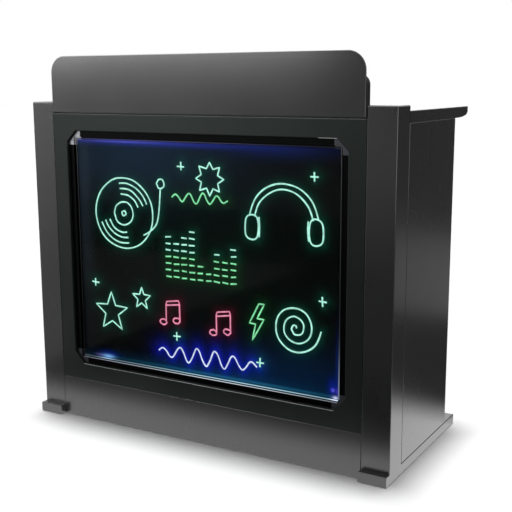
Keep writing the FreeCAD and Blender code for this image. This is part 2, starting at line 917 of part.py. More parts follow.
def push_button(x):
    """Dished cap through the cover, with a collar behind the cover and a stem towards the switch."""
    collar_y = cover_y - button_fit
    top_y = cover_y + cover_thickness + button_stand
    cap = rod(button_radius, Vector(x, collar_y, case_level), BACK * (top_y - collar_y))
    cap = cap.makeChamfer(button_bevel, edges_on(cap, 1, top_y))
    cap = cap.cut(rod(button_dish_radius, Vector(x, top_y, case_level), FRONT * button_dish_depth))
    collar = rod(
        button_radius + button_collar_width,
        Vector(x, collar_y, case_level),
        FRONT * button_collar_thickness,
    )
    stem_end = circuit_back_y + switch_height + switch_plunger_height + button_travel + button_fit
    stem_top = collar_y - button_collar_thickness
    stem = rod(button_stem_radius, Vector(x, stem_top, case_level), FRONT * (stem_top - stem_end))
    return cap.fuse([collar, stem])


def infrared_window():
    """Small lens in the cover, with a bevelled front."""
    start = Vector(window_x, cover_y, case_level)
    lens = rod(window_radius, start, BACK * (cover_thickness + window_stand))
    return lens.makeChamfer(window_bevel, edges_on(lens, 1, cover_y + cover_thickness + window_stand))


def dc_inlet():
    """Barrel inlet on the circuit board with its mouth in the underside of the case."""
    mouth = inlet_nose_place()
    inside = case_level - case_height / 2 + case_wall + inlet_fit
    body = block(
        (mouth.x - inlet_width / 2, circuit_back_y, inside),
        (mouth.x + inlet_width / 2, circuit_back_y + inlet_height, inside + inlet_length),
    )
    body = body.fuse(rod(inlet_nose_radius, mouth, UP * (case_wall + inlet_fit)))
    body = body.cut(rod(inlet_bore_radius, mouth, UP * inlet_bore_depth))
    return body.fuse(rod(inlet_pin_radius, mouth + UP * case_wall, UP * inlet_bore_depth))


def build_nodes():
    """Every piece of the booth by name."""
    board_holes = at_brackets(bracket_holes())
    hinge_runs = [run for place in hinge_places for run in worktop_leaf_screws(place)]
    header_runs = [run for place in hinge_places for run in header_leaf_screws(place)]
    clip_holes = at_clips(screw_hole(*clip_screw_run()))
    foot = drilled(right_foot(), board_holes)
    post = drilled(right_post(), board_holes)
    side = drilled(right_side_panel(), board_holes)
    shelf_cleat = right_cleat(shelf_top - shelf_thickness)
    worktop_cleat = right_cleat(worktop_bottom)
    glides = right_glides()
    bolts = right_foot_bolts()
    nodes = {
        "foot_glides": glides + [mirrored(glide) for glide in glides],
        "foot_bolts": bolts + [mirrored(bolt) for bolt in bolts],
        "front_panel": drilled(front_panel(), board_holes + clip_holes),
        "kick_panel": drilled(kick_panel(), board_holes),
        "worktop": drilled(worktop(), board_holes + [screw_hole(*run) for run in hinge_runs]),
        "lower_shelf": lower_shelf(),
        "corner_brackets": at_brackets(bracket()),
        "bracket_screws": at_brackets(bracket_screws()),
        "header_panel": drilled(header_panel(), [screw_hole(*run) for run in header_runs]),
        "hinge_worktop_leaves": [worktop_leaf(place) for place in hinge_places],
        "hinge_header_leaves": [header_leaf(place) for place in hinge_places],
        "hinge_pins": [hinge_pin(place) for place in hinge_places],
        "worktop_hinge_screws": [screw(*run) for run in hinge_runs],
        "header_hinge_screws": [screw(*run) for run in header_runs],
        "header_buffers": header_buffers(),
        "writing_sheet": sheet(sheet_front, sheet_thickness),
        "backing_sheet": sheet(backing_front, backing_thickness),
        "board_clips": at_clips(board_clip()),
        "clip_screws": at_clips(screw(*clip_screw_run())),
        "controller_case": controller_case(),
        "controller_cover": controller_cover(),
        "cover_screws": [screw(*run) for run in cover_screw_runs()],
        "controller_circuit": controller_circuit(),
        "button_switches": [button_switch(x) for x in button_places],
        "infrared_window": infrared_window(),
        "dc_inlet": dc_inlet(),
    }
    pairs = {
        "foot": foot,
        "post": post,
        "side_panel": side,
        "shelf_cleat": shelf_cleat,
        "worktop_cleat": worktop_cleat,
    }
    for name, shape in pairs.items():
        nodes["right_" + name] = shape
        nodes["left_" + name] = mirrored(shape)
    for side_name in ("top", "bottom", "left", "right"):
        nodes["board_frame_" + side_name] = frame_bar(side_name)
        nodes["light_strip_" + side_name] = light_strip(side_name)
    nodes.update(board_corners())
    for name, x in zip(("mode_button", "power_button", "speed_button"), button_places):
        nodes[name] = push_button(x)
    return nodes


def export(nodes):
    """Write one file per piece, a group of like pieces as one compound."""
    os.makedirs("parts", exist_ok=True)
    for name, shape in nodes.items():
        if isinstance(shape, list):
            shape = Part.makeCompound(shape)
        shape.exportStep("parts/" + name + ".step")


export(build_nodes())
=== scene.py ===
"""Looks of the DJ booth: its finishes, the lit drawing on its writing board and the studio around it.

Metres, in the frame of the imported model: +Z up, +X to the right of someone facing the booth, +Y to the DJ.
"""
import logging
import math
import random
from dataclasses import dataclass, field
from enum import Enum

import bpy
from mathutils import Matrix, Vector
from mathutils.kdtree import KDTree


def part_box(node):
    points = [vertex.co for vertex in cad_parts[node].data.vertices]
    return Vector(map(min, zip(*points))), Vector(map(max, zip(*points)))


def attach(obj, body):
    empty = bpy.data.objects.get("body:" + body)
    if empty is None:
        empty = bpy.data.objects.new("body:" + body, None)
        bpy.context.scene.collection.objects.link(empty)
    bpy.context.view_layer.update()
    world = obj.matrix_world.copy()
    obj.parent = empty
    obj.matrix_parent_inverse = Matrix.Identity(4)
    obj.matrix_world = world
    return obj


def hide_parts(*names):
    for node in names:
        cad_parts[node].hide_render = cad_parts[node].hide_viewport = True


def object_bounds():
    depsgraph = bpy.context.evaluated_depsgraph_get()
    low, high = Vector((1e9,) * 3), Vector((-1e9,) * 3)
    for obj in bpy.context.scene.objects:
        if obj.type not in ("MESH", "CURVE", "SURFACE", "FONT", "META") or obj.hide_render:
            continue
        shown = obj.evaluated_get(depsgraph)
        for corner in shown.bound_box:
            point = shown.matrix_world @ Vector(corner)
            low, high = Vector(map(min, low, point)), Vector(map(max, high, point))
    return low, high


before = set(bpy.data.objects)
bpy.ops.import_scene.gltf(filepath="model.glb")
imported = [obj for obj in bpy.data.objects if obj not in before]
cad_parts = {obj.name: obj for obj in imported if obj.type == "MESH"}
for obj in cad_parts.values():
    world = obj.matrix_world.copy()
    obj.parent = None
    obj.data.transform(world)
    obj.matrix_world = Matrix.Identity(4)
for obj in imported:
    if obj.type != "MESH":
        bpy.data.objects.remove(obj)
cad_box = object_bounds()

log = logging.getLogger("booth")
MM = 0.001
WHITE = (1.0, 1.0, 1.0, 1.0)
SMOOTH_ANGLE = math.radians(40)   # faces that meet at less than this are shaded as one

Colour = tuple[float, float, float, float]
Point = tuple[float, float]
Place = tuple[float, float, float]
Inputs = dict[str | int, object]
Tree = bpy.types.NodeTree
Node = bpy.types.Node
Socket = bpy.types.NodeSocket
Material = bpy.types.Material
Piece = bpy.types.Object


class Body(Enum):
    """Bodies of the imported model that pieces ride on."""

    CARCASS = "carcass"
    HEADER = "header"


class Side(Enum):
    """Sides of the writing board, each with its direction from the middle."""

    TOP = (0, 1)
    BOTTOM = (0, -1)
    LEFT = (-1, 0)
    RIGHT = (1, 0)


class Turn(Enum):
    """Ways that a card of the studio stands, in degrees about X, Y and Z from lying face up."""

    FLAT = (0, 0, 0)
    FACING = (90, 0, 0)
    SIDEWAYS = (90, 0, 90)
    SLANTED = (90, 0, 80)


def linear(colour: str) -> Colour:
    """Turn an sRGB hex colour into linear light.

    Args:
        colour: Hex colour such as "#1a1b1c".

    Returns:
        Linear red, green and blue, fully opaque.
    """
    shades = [int(colour[start:start + 2], 16) / 255 for start in (1, 3, 5)]
    light = [s / 12.92 if s <= 0.04045 else ((s + 0.055) / 1.055) ** 2.4 for s in shades]
    return (light[0], light[1], light[2], 1.0)


def per_metre(size_mm: float) -> float:
    """Texture scale that makes a pattern's features about this many millimetres wide."""
    return 1.0 / (size_mm * MM)


def fill(tree: Tree, node: Node, inputs: Inputs) -> None:
    """Set inputs of a node to values, or link them to sockets.

    Args:
        tree: Node tree that holds the node.
        node: The node.
        inputs: Value or output socket for each input, by name or index.
    """
    for key, value in inputs.items():
        if isinstance(value, Socket):
            tree.links.new(value, node.inputs[key])
        else:
            node.inputs[key].default_value = value


def add_node(tree: Tree, kind: str, inputs: Inputs | None = None, **settings: str) -> Node:
    """Add a node with its settings, and set or link its inputs.

    Args:
        tree: Node tree to add to.
        kind: Blender's type name of the node.
        inputs: Value or output socket for each input, by name or index.
        **settings: Properties of the node itself.

    Returns:
        The new node.
    """
    node = tree.nodes.new(kind)
    for name, value in settings.items():
        setattr(node, name, value)
    fill(tree, node, inputs or {})
    return node


def deselect() -> None:
    """Leave object mode's selection empty, so that an operator acts on the new piece alone."""
    bpy.ops.object.select_all(action="DESELECT")


def settle(piece: Piece) -> None:
    """Put a piece's place and turn into its mesh.

    Args:
        piece: The piece, which becomes the active one.
    """
    deselect()
    piece.select_set(True)
    bpy.context.view_layer.objects.active = piece
    bpy.ops.object.transform_apply()


def copies(piece: Piece, count: int) -> list[Piece]:
    """Copy the active piece, each time with a mesh of its own.

    Args:
        piece: The active piece.
        count: How many there are in the end.

    Returns:
        The piece and its copies.
    """
    pieces = [piece]
    while len(pieces) < count:
        bpy.ops.object.duplicate(linked=False)
        pieces.append(bpy.context.object)
    return pieces


def block(middle: Vector | Place, size: Vector | Place) -> Piece:
    """Start a piece from a block.

    Args:
        middle: Middle of the block.
        size: Its extent along X, Y and Z.

    Returns:
        The block, with its place and size in its mesh.
    """
    deselect()
    bpy.ops.mesh.primitive_cube_add(size=1.0, location=middle)
    piece = bpy.context.object
    piece.scale = size
    bpy.ops.object.transform_apply()
    return piece


def soft_strip(middle: Place, size: Place, radius: float, segments: int) -> Piece:
    """Model a slim strip of soft material with all its edges rounded.

    Args:
        middle: Middle of the strip.
        size: Its extent along X, Y and Z.
        radius: Radius of its edges.
        segments: Facets across each edge.

    Returns:
        The strip.
    """
    piece = block(middle, size)
    bpy.ops.object.mode_set(mode="EDIT")
    bpy.ops.mesh.select_all(action="SELECT")
    bpy.ops.mesh.bevel(offset=radius, segments=segments)
    bpy.ops.object.mode_set(mode="OBJECT")
    bpy.ops.object.shade_smooth_by_angle(angle=SMOOTH_ANGLE)
    return piece


def keep_piece(piece: Piece, name: str, material: Material, body: Body) -> None:
    """Finish a new piece: name it, dress it and let it ride on a body.

    Args:
        piece: Object whose place is already in its mesh.
        name: Name of the piece.
        material: Its finish.
        body: Body that it moves with.
    """
    piece.name = name
    piece.data.materials.clear()
    piece.data.materials.append(material)
    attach(piece, body.value)
    log.info("%s rides on %s, %d faces", name, body.value, len(piece.data.polygons))


@dataclass
class Surface:
    """Material in the making.

    Attributes:
        tree: Its node tree.
        shader: Its surface shader.
        place: Place on the piece, in metres of the shared frame.
    """

    tree: Tree
    shader: Node
    place: Socket

    def fill(self, inputs: Inputs) -> None:
        """Set or link inputs of the shader."""
        fill(self.tree, self.shader, inputs)


@dataclass(frozen=True)
class Finish:
    """What a surface is made of, before its close-up detail.

    Attributes:
        name: Common name of the material and how its surface was made.
        colour: sRGB hex colour.
        roughness: Roughness of the surface.
        ior: Index of refraction.
        metallic: 1 for a bare metal.
    """

    name: str
    colour: str
    roughness: float
    ior: float = 1.5
    metallic: float = 0.0

    def build(self) -> Material:
        """Make the material, with its detail.

        Returns:
            The new material.
        """
        material = bpy.data.materials.new(self.name)
        material.use_nodes = True
        tree = material.node_tree
        place = add_node(tree, "ShaderNodeTexCoord").outputs["Object"]
        surface = Surface(tree, tree.nodes["Principled BSDF"], place)
        surface.fill({
            "Base Color": linear(self.colour),
            "Roughness": self.roughness,
            "IOR": self.ior,
            "Metallic": self.metallic,
        })
        self.detail(surface)
        return material

    def detail(self, surface: Surface) -> None:
        """Add what the eye sees close up."""

    def relief(self, surface: Surface, height: Socket, depth_mm: float) -> Socket:
        """Raise the surface by a pattern.

        Args:
            surface: Material in the making.
            height: Pattern from 0 to 1.
            depth_mm: Real depth of the pattern.

        Returns:
            Direction of the raised surface.
        """
        shape = {"Height": height, "Strength": 1.0, "Distance": depth_mm * MM}
        normal = add_node(surface.tree, "ShaderNodeBump", shape).outputs["Normal"]
        surface.fill({"Normal": normal})
        return normal

    def gloss_drift(self, surface: Surface, pattern: Socket, spread: float) -> None:
        """Let the roughness drift by a pattern, up and down from its middle value.

        Args:
            surface: Material in the making.
            pattern: Pattern from 0 to 1.
            spread: Largest change of the roughness.
        """
        limits = {"Value": pattern, "To Min": self.roughness - spread, "To Max": self.roughness + spread}
        drift = add_node(surface.tree, "ShaderNodeMapRange", limits)
        surface.fill({"Roughness": drift.outputs["Result"]})

    def colour_drift(self, surface: Surface, pattern: Socket, other: str) -> None:
        """Let the colour drift by a pattern.

        Args:
            surface: Material in the making.
            pattern: Pattern from 0 to 1.
            other: Hex colour where the pattern is 1.
        """
        shades = {"Factor": pattern, "A": linear(self.colour), "B": linear(other)}
        mix = add_node(surface.tree, "ShaderNodeMix", shades, data_type="RGBA")
        surface.fill({"Base Color": mix.outputs["Result"]})


def dress_nodes(finishes: dict[tuple[str, ...], Finish]) -> None:
    """Give nodes of the model their finishes.

    Args:
        finishes: Finish of each group of nodes.
    """
    for nodes, finish in finishes.items():
        material = finish.build()
        for node in nodes:
            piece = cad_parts[node]
            piece.data.materials.clear()
            piece.data.materials.append(material)
            log.info("%s is %s", node, material.name)


def worn_by(node: str) -> Material:
    """Finish that a dressed node of the model wears."""
    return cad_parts[node].data.materials[0]


@dataclass(frozen=True)
class SatinLaminate(Finish):
    """Black melamine on board, pressed satin: a soft sheen, a faint orange peel and hand-wiped patches."""

    worn: str = "#1b1c1c"
    coat: float = 1.0
    coat_roughness: float = 0.24
    coat_ior: float = 1.5
    tint: str = "#ffffff"         # of the mirror in the board's own surface
    peel_mm: float = 4.0          # real orange peel is about 1 mm and too fine to show
    peel_depth_mm: float = 0.012
    wipe_mm: float = 160.0
    wipe_spread: float = 0.05

    def detail(self, surface: Surface) -> None:
        """Add the clear top layer, the peel and the wiped patches.

        Args:
            surface: Material in the making.
        """
        surface.fill({
            "Coat Weight": self.coat,
            "Coat Roughness": self.coat_roughness,
            "Coat IOR": self.coat_ior,
            "Specular Tint": linear(self.tint),
        })
        grain = {"Vector": surface.place, "Scale": per_metre(self.peel_mm)}
        peel = add_node(surface.tree, "ShaderNodeTexNoise", grain).outputs["Fac"]
        surface.fill({"Coat Normal": self.relief(surface, peel, self.peel_depth_mm)})
        patches = {"Vector": surface.place, "Scale": per_metre(self.wipe_mm), "Detail": 3.0}
        wipe = add_node(surface.tree, "ShaderNodeTexNoise", patches).outputs["Fac"]
        self.gloss_drift(surface, wipe, self.wipe_spread)
        self.colour_drift(surface, wipe, self.worn)


@dataclass(frozen=True)
class RoutedLaminateWithHighlight(SatinLaminate):
    """Melamine board with a cut-out, whose rounded sill and top edge get a painted highlight in pale grey.

    Each band is the middle and half width, in millimetres from its edge, of where the painted highlight
    shows.
    """

    # Colour of the painted highlight along the sill and the top edge
    core: str = "#c4c4c4"
    sill_z: float = 0.0           # of the cut-out
    top_z: float = 0.0            # of the board
    front_y: float = 0.0
    sill_band: Point = (-1.0, 1.2)
    curve_band: Point = (1.1, 0.9)
    top_band: Point = (-0.7, 0.8)
    face_band: Point = (0.0, 1.0)
    top_highlight_share: float = 0.4        # of the painted highlight along the top edge

    def detail(self, surface: Surface) -> None:
        """Add the laminate, then a painted highlight along the cut-out's sill and the board's top edge.

        Args:
            surface: Material in the making.
        """
        super().detail(surface)
        tree = surface.tree
        laminate = surface.shader.inputs["Base Color"].links[0].from_socket
        place = add_node(tree, "ShaderNodeSeparateXYZ", {"Vector": surface.place}).outputs
        shown = []
        for axis, edge, (middle, half) in (
            ("Z", self.sill_z, self.sill_band),
            ("Y", self.front_y, self.curve_band),
            ("Z", self.top_z, self.top_band),
            ("Y", self.front_y, self.face_band),
        ):
            band = {0: place[axis], 1: edge + middle * MM, 2: half * MM}
            shown.append(add_node(tree, "ShaderNodeMath", band, operation="COMPARE").outputs["Value"])
        sill, curve, top, face = shown
        rim = add_node(tree, "ShaderNodeMath", {0: sill, 1: curve}, operation="MULTIPLY")
        thin = add_node(tree, "ShaderNodeMath", {0: top, 1: self.top_highlight_share}, operation="MULTIPLY")
        edges = {0: thin.outputs["Value"], 1: face, 2: rim.outputs["Value"]}
        highlight_mask = add_node(tree, "ShaderNodeMath", edges, operation="MULTIPLY_ADD")
        # Pale grey over the laminate: a painted highlight on the sill's rounding and along the top edge
        shades = {"Factor": highlight_mask.outputs["Value"], "A": laminate, "B": linear(self.core)}
        mix = add_node(tree, "ShaderNodeMix", shades, data_type="RGBA")
        surface.fill({"Base Color": mix.outputs["Result"]})


@dataclass(frozen=True)
class StainedPine(Finish):
    """Planed pine stained black: long dark grain shows through the stain."""

    grain: str = "#2c2622"
    grain_mm: float = 3.0
    stretch: float = 0.06
    depth_mm: float = 0.08

    def detail(self, surface: Surface) -> None:
        """Add the grain, drawn out along the batten.

        Args:
            surface: Material in the making.
        """
        stretched = {"Vector": surface.place, "Scale": (1.0, self.stretch, 1.0)}
        run = add_node(surface.tree, "ShaderNodeMapping", stretched).outputs["Vector"]
        growth = {"Vector": run, "Scale": per_metre(self.grain_mm), "Detail": 5.0, "Distortion": 0.6}
        grain = add_node(surface.tree, "ShaderNodeTexNoise", growth).outputs["Fac"]
        self.colour_drift(surface, grain, self.grain)
        self.relief(surface, grain, self.depth_mm)


@dataclass(frozen=True)
class GrainedFinish(Finish):
    """A moulded or sprayed surface with a fine even grain, such as ABS, rubber or powder coat."""

    grain_mm: float = 1.2
    depth_mm: float = 0.05
    other: str = "#202122"
    spread: float = 0.06
    drift_grains: float = 40.0    # width of the slow drift, in grains

    def detail(self, surface: Surface) -> None:
        """Add the grain, and a slow drift of colour and gloss.

        Args:
            surface: Material in the making.
        """
        cells = {"Vector": surface.place, "Scale": per_metre(self.grain_mm)}
        grain = add_node(surface.tree, "ShaderNodeTexVoronoi", cells).outputs["Distance"]
        self.relief(surface, grain, self.depth_mm)
        patches = {"Vector": surface.place, "Scale": per_metre(self.drift_grains * self.grain_mm)}
        drift = add_node(surface.tree, "ShaderNodeTexNoise", patches).outputs["Fac"]
        self.gloss_drift(surface, drift, self.spread)
        self.colour_drift(surface, drift, self.other)


@dataclass(frozen=True)
class DrawnMetal(Finish):
    """A metal with fine lines along its length, as an extrusion or a drawn wire has."""

    other: str = "#3a3b3e"
    line_mm: float = 0.8
    stretch: float = 0.02
    depth_mm: float = 0.01
    spread: float = 0.08

    def detail(self, surface: Surface) -> None:
        """Add the lines, along both directions that the bars run in.

        Args:
            surface: Material in the making.
        """
        tree = surface.tree
        lines = []
        for scale in ((self.stretch, 1.0, 1.0), (1.0, 1.0, self.stretch)):
            run = add_node(tree, "ShaderNodeMapping", {"Vector": surface.place, "Scale": scale})
            draw = {"Vector": run.outputs["Vector"], "Scale": per_metre(self.line_mm), "Detail": 3.0}
            lines.append(add_node(tree, "ShaderNodeTexNoise", draw).outputs["Fac"])
        crossed = {0: lines[0], 1: lines[1]}
        both = add_node(tree, "ShaderNodeMath", crossed, operation="MULTIPLY").outputs["Value"]
        self.relief(surface, both, self.depth_mm)
        self.gloss_drift(surface, both, self.spread)
        self.colour_drift(surface, both, self.other)


@dataclass(frozen=True)
class CastAcrylic(Finish):
    """Clear cast acrylic with a coat against glare: see-through, with a thin mirror and wiping marks."""

    wipe_mm: float = 90.0
    wipe_spread: float = 0.02
    shows: float = 0.16           # share of the surface that is seen; the rest is see-through

    def detail(self, surface: Surface) -> None:
        """Let light through and add the wiping marks.

        Args:
            surface: Material in the making.
        """
        surface.fill({"Alpha": self.shows})
        marks = {"Vector": surface.place, "Scale": per_metre(self.wipe_mm), "Detail": 4.0}
        wipe = add_node(surface.tree, "ShaderNodeTexNoise", marks).outputs["Fac"]
        self.gloss_drift(surface, wipe, self.wipe_spread)


@dataclass(frozen=True)
class SolderMask(Finish):
    """Green lacquer over copper tracks on a circuit board."""

    track: str = "#1f6b3c"
    track_share: float = 0.06
    length_mm: float = 10.0

    def detail(self, surface: Surface) -> None:
        """Add the tracks that show through the lacquer.

        Args:
            surface: Material in the making.
        """
        upright = {"Vector": surface.place, "Rotation": (math.radians(90), 0.0, 0.0)}
        turn = add_node(surface.tree, "ShaderNodeMapping", upright).outputs["Vector"]
        layout = {"Vector": turn, "Scale": per_metre(self.length_mm), "Mortar Size": self.track_share}
        tracks = add_node(surface.tree, "ShaderNodeTexBrick", layout).outputs["Fac"]
        self.colour_drift(surface, tracks, self.track)


@dataclass(frozen=True)
class GlowingFinish(Finish):
    """A surface that gives light by itself, a little unevenly along its length."""

    glow: str = "#ffffff"
    strength: float = 1.0
    uneven_mm: float = 14.0
    uneven: float = 0.25
    drift_range: Point = (0.3, 0.7)   # of the pattern, which hardly goes past it

    def detail(self, surface: Surface) -> None:
        """Add the light, with its slow unevenness.

        Args:
            surface: Material in the making.
        """
        patches = {"Vector": surface.place, "Scale": per_metre(self.uneven_mm)}
        level = add_node(surface.tree, "ShaderNodeMapRange", {
            "Value": add_node(surface.tree, "ShaderNodeTexNoise", patches).outputs["Fac"],
            "From Min": self.drift_range[0],
            "From Max": self.drift_range[1],
            "To Min": self.strength * (1 - self.uneven),
            "To Max": self.strength * (1 + self.uneven),
        })
        surface.fill({"Emission Color": linear(self.glow), "Emission Strength": level.outputs["Result"]})


@dataclass(frozen=True)
class Glow:
    """Soft patch of light that the strips throw on the writing board.

    Attributes:
        middle: Its middle, in millimetres from the middle of the board.
        reach: Distances across and up over which it falls to about a third, in millimetres.
        colour: Hex colour of the light.
        strength: Light in the middle.
    """

    middle: Point
    reach: Point
    colour: str
    strength: float


@dataclass(frozen=True)
class EdgeLit(Finish):
    """Clear silicone bead that carries the light of the strip behind it, bright here and dim there."""

    middle_z: float = 0.0
    glows: tuple[Glow, ...] = ()

    def detail(self, surface: Surface) -> None:
        """Add the light along the bead."""
        surface.fill({"Emission Color": self.light(surface), "Emission Strength": 1.0})

    def light(self, surface: Surface, *others: Socket) -> Socket:
        """Add up the patches of light.

        Args:
            surface: Material in the making.
            *others: Other light on the surface.

        Returns:
            Socket with the colour of the whole light.
        """
        total, *rest = [*others, *(self.patch(surface, glow) for glow in self.glows)]
        for light in rest:
            both = add_node(surface.tree, "ShaderNodeVectorMath", {0: total, 1: light}, operation="ADD")
            total = both.outputs["Vector"]
        return total

    def patch(self, surface: Surface, glow: Glow) -> Socket:
        """Make the light of one soft patch.

        Args:
            surface: Material in the making.
            glow: The patch.

        Returns:
            Socket with the colour of the light.
        """
        tree, kind = surface.tree, "ShaderNodeVectorMath"
        middle = (glow.middle[0] * MM, 0.0, self.middle_z + glow.middle[1] * MM)
        rates = (per_metre(glow.reach[0]), 0.0, per_metre(glow.reach[1]))
        colour = [glow.strength * part for part in linear(glow.colour)[:3]]
        away = add_node(tree, kind, {0: surface.place, 1: middle}, operation="SUBTRACT").outputs["Vector"]
        far = add_node(tree, kind, {0: away, 1: rates}, operation="MULTIPLY").outputs["Vector"]
        square = add_node(tree, kind, {0: far, 1: far}, operation="DOT_PRODUCT").outputs["Value"]
        fall = add_node(tree, "ShaderNodeMath", {0: 1 / math.e, 1: square}, operation="POWER")
        light = {0: colour, "Scale": fall.outputs["Value"]}
        return add_node(tree, kind, light, operation="SCALE").outputs["Vector"]


@dataclass(frozen=True)
class LitBacking(EdgeLit):
    """Matt black PVC sheet behind the acrylic, washed by the light strips round its edges."""

    front_y: float = 0.0
    mirror: float = 0.04

    def detail(self, surface: Surface) -> None:
        """Add up the light from the edges and the halo round the drawn lines, on the front alone.

        Args:
            surface: Material in the making.
        """
        halo = add_node(surface.tree, "ShaderNodeAttribute", attribute_name="halo").outputs["Color"]
        depth = add_node(surface.tree, "ShaderNodeSeparateXYZ", {"Vector": surface.place}).outputs["Y"]
        ahead = add_node(surface.tree, "ShaderNodeMath", {0: depth, 1: self.front_y}, operation="LESS_THAN")
        surface.fill({
            "Emission Color": self.light(surface, halo),
            "Emission Strength": ahead.outputs["Value"],
            "Specular IOR Level": self.mirror,
        })


# Light on the backing: blue along the top, a spot at the lower left and a bright corner at the lower right
EDGE_LIGHT = (
    Glow((-140, 324), (300, 10), "#2830a4", 0.7),
    Glow((-270, 325), (130, 4), "#6c6cf0", 0.5),
    Glow((230, 318), (150, 22), "#0d2468", 0.45),
    Glow((-220, 290), (300, 110), "#16293c", 0.9),
    Glow((-412, 160), (26, 260), "#1e262c", 0.8),
    Glow((0, 40), (320, 220), "#030c08", 1.0),
    Glow((120, -324), (350, 4), "#2c86a8", 0.4),
    Glow((60, -322), (340, 20), "#06304c", 0.7),
    Glow((-341, -325), (20, 6), "#86c4ff", 1.0),
    Glow((-373, -324), (16, 4), "#7c60c4", 0.35),
    Glow((-336, -317), (30, 10), "#0c2cb0", 0.4),
    Glow((290, -290), (200, 80), "#021c38", 0.9),
    Glow((416, -327), (8, 5), "#dcdcff", 1.2),
    Glow((421, -308), (4, 9), "#5a3ad0", 0.6),
    Glow((408, -306), (5, 5), "#6a62ff", 0.8),
    Glow((408, -300), (14, 24), "#0a128c", 0.8),
    Glow((421, -250), (6, 80), "#0c1e62", 0.8),
)
# Light in the bead on each lip
LIP_LIGHT = {
    Side.TOP: (Glow((-260, 326), (170, 20), "#3c3ca8", 0.3), Glow((60, 326), (260, 20), "#1c1c60", 0.3)),
    Side.BOTTOM: (
        Glow((140, -326), (380, 20), "#a2d0e2", 0.95),
        Glow((-341, -326), (26, 20), "#a6ccf4", 0.7),
        Glow((418, -326), (16, 20), "#e4e4ff", 0.8),
    ),
    Side.LEFT: (Glow((-426, 160), (20, 200), "#22282c", 0.1),),
    Side.RIGHT: (Glow((426, -300), (20, 90), "#8698b0", 0.65), Glow((426, 0), (20, 300), "#14181a", 0.6)),
}
# Light in the bead on the step of the lowest bar
STEP_LIGHT = (Glow((60, -334), (330, 20), "#ccd4e0", 1.0), Glow((-330, -334), (120, 20), "#6a6a84", 0.6))


@dataclass(frozen=True)
class Ink:
    """Marker ink that glows in the light of the edges.

    Attributes:
        core: Hex colour of the line.
        halo: Hex colour of the light round it.
        strength: Light of the halo beside the line.
        reach_mm: Distance over which the halo fades.
    """

    core: str
    halo: str
    strength: float
    reach_mm: float


class Marker(Enum):
    """Markers that the drawing is made with, each with its ink."""

    MINT = Ink("#b4fbe6", "#0b7a5c", 0.22, 9.0)
    GREEN = Ink("#86ecaa", "#0a6a2c", 0.25, 9.0)
    PINK = Ink("#f08cae", "#8a0f3c", 0.22, 8.0)
    ICE = Ink("#dbe6ff", "#1524e0", 0.6, 13.0)

    def finish(self) -> GlowingFinish:
        """Dried ink: a matt film that shines in its own colour."""
        name = f"{self.name.lower()} fluorescent marker ink, dried"
        return GlowingFinish(name, "#20302c", 0.5, glow=self.value.core, strength=0.85)


@dataclass
class Line:
    """One line of the drawing, in millimetres from the middle of the board.

    Attributes:
        points: Places that the line goes through or near.
        closed: Whether it ends where it starts.
        soft: Whether its corners are drawn round.
    """

    points: list[Point]
    closed: bool = False
    soft: bool = True


Motifs = dict[str, tuple[Marker, list[Line]]]


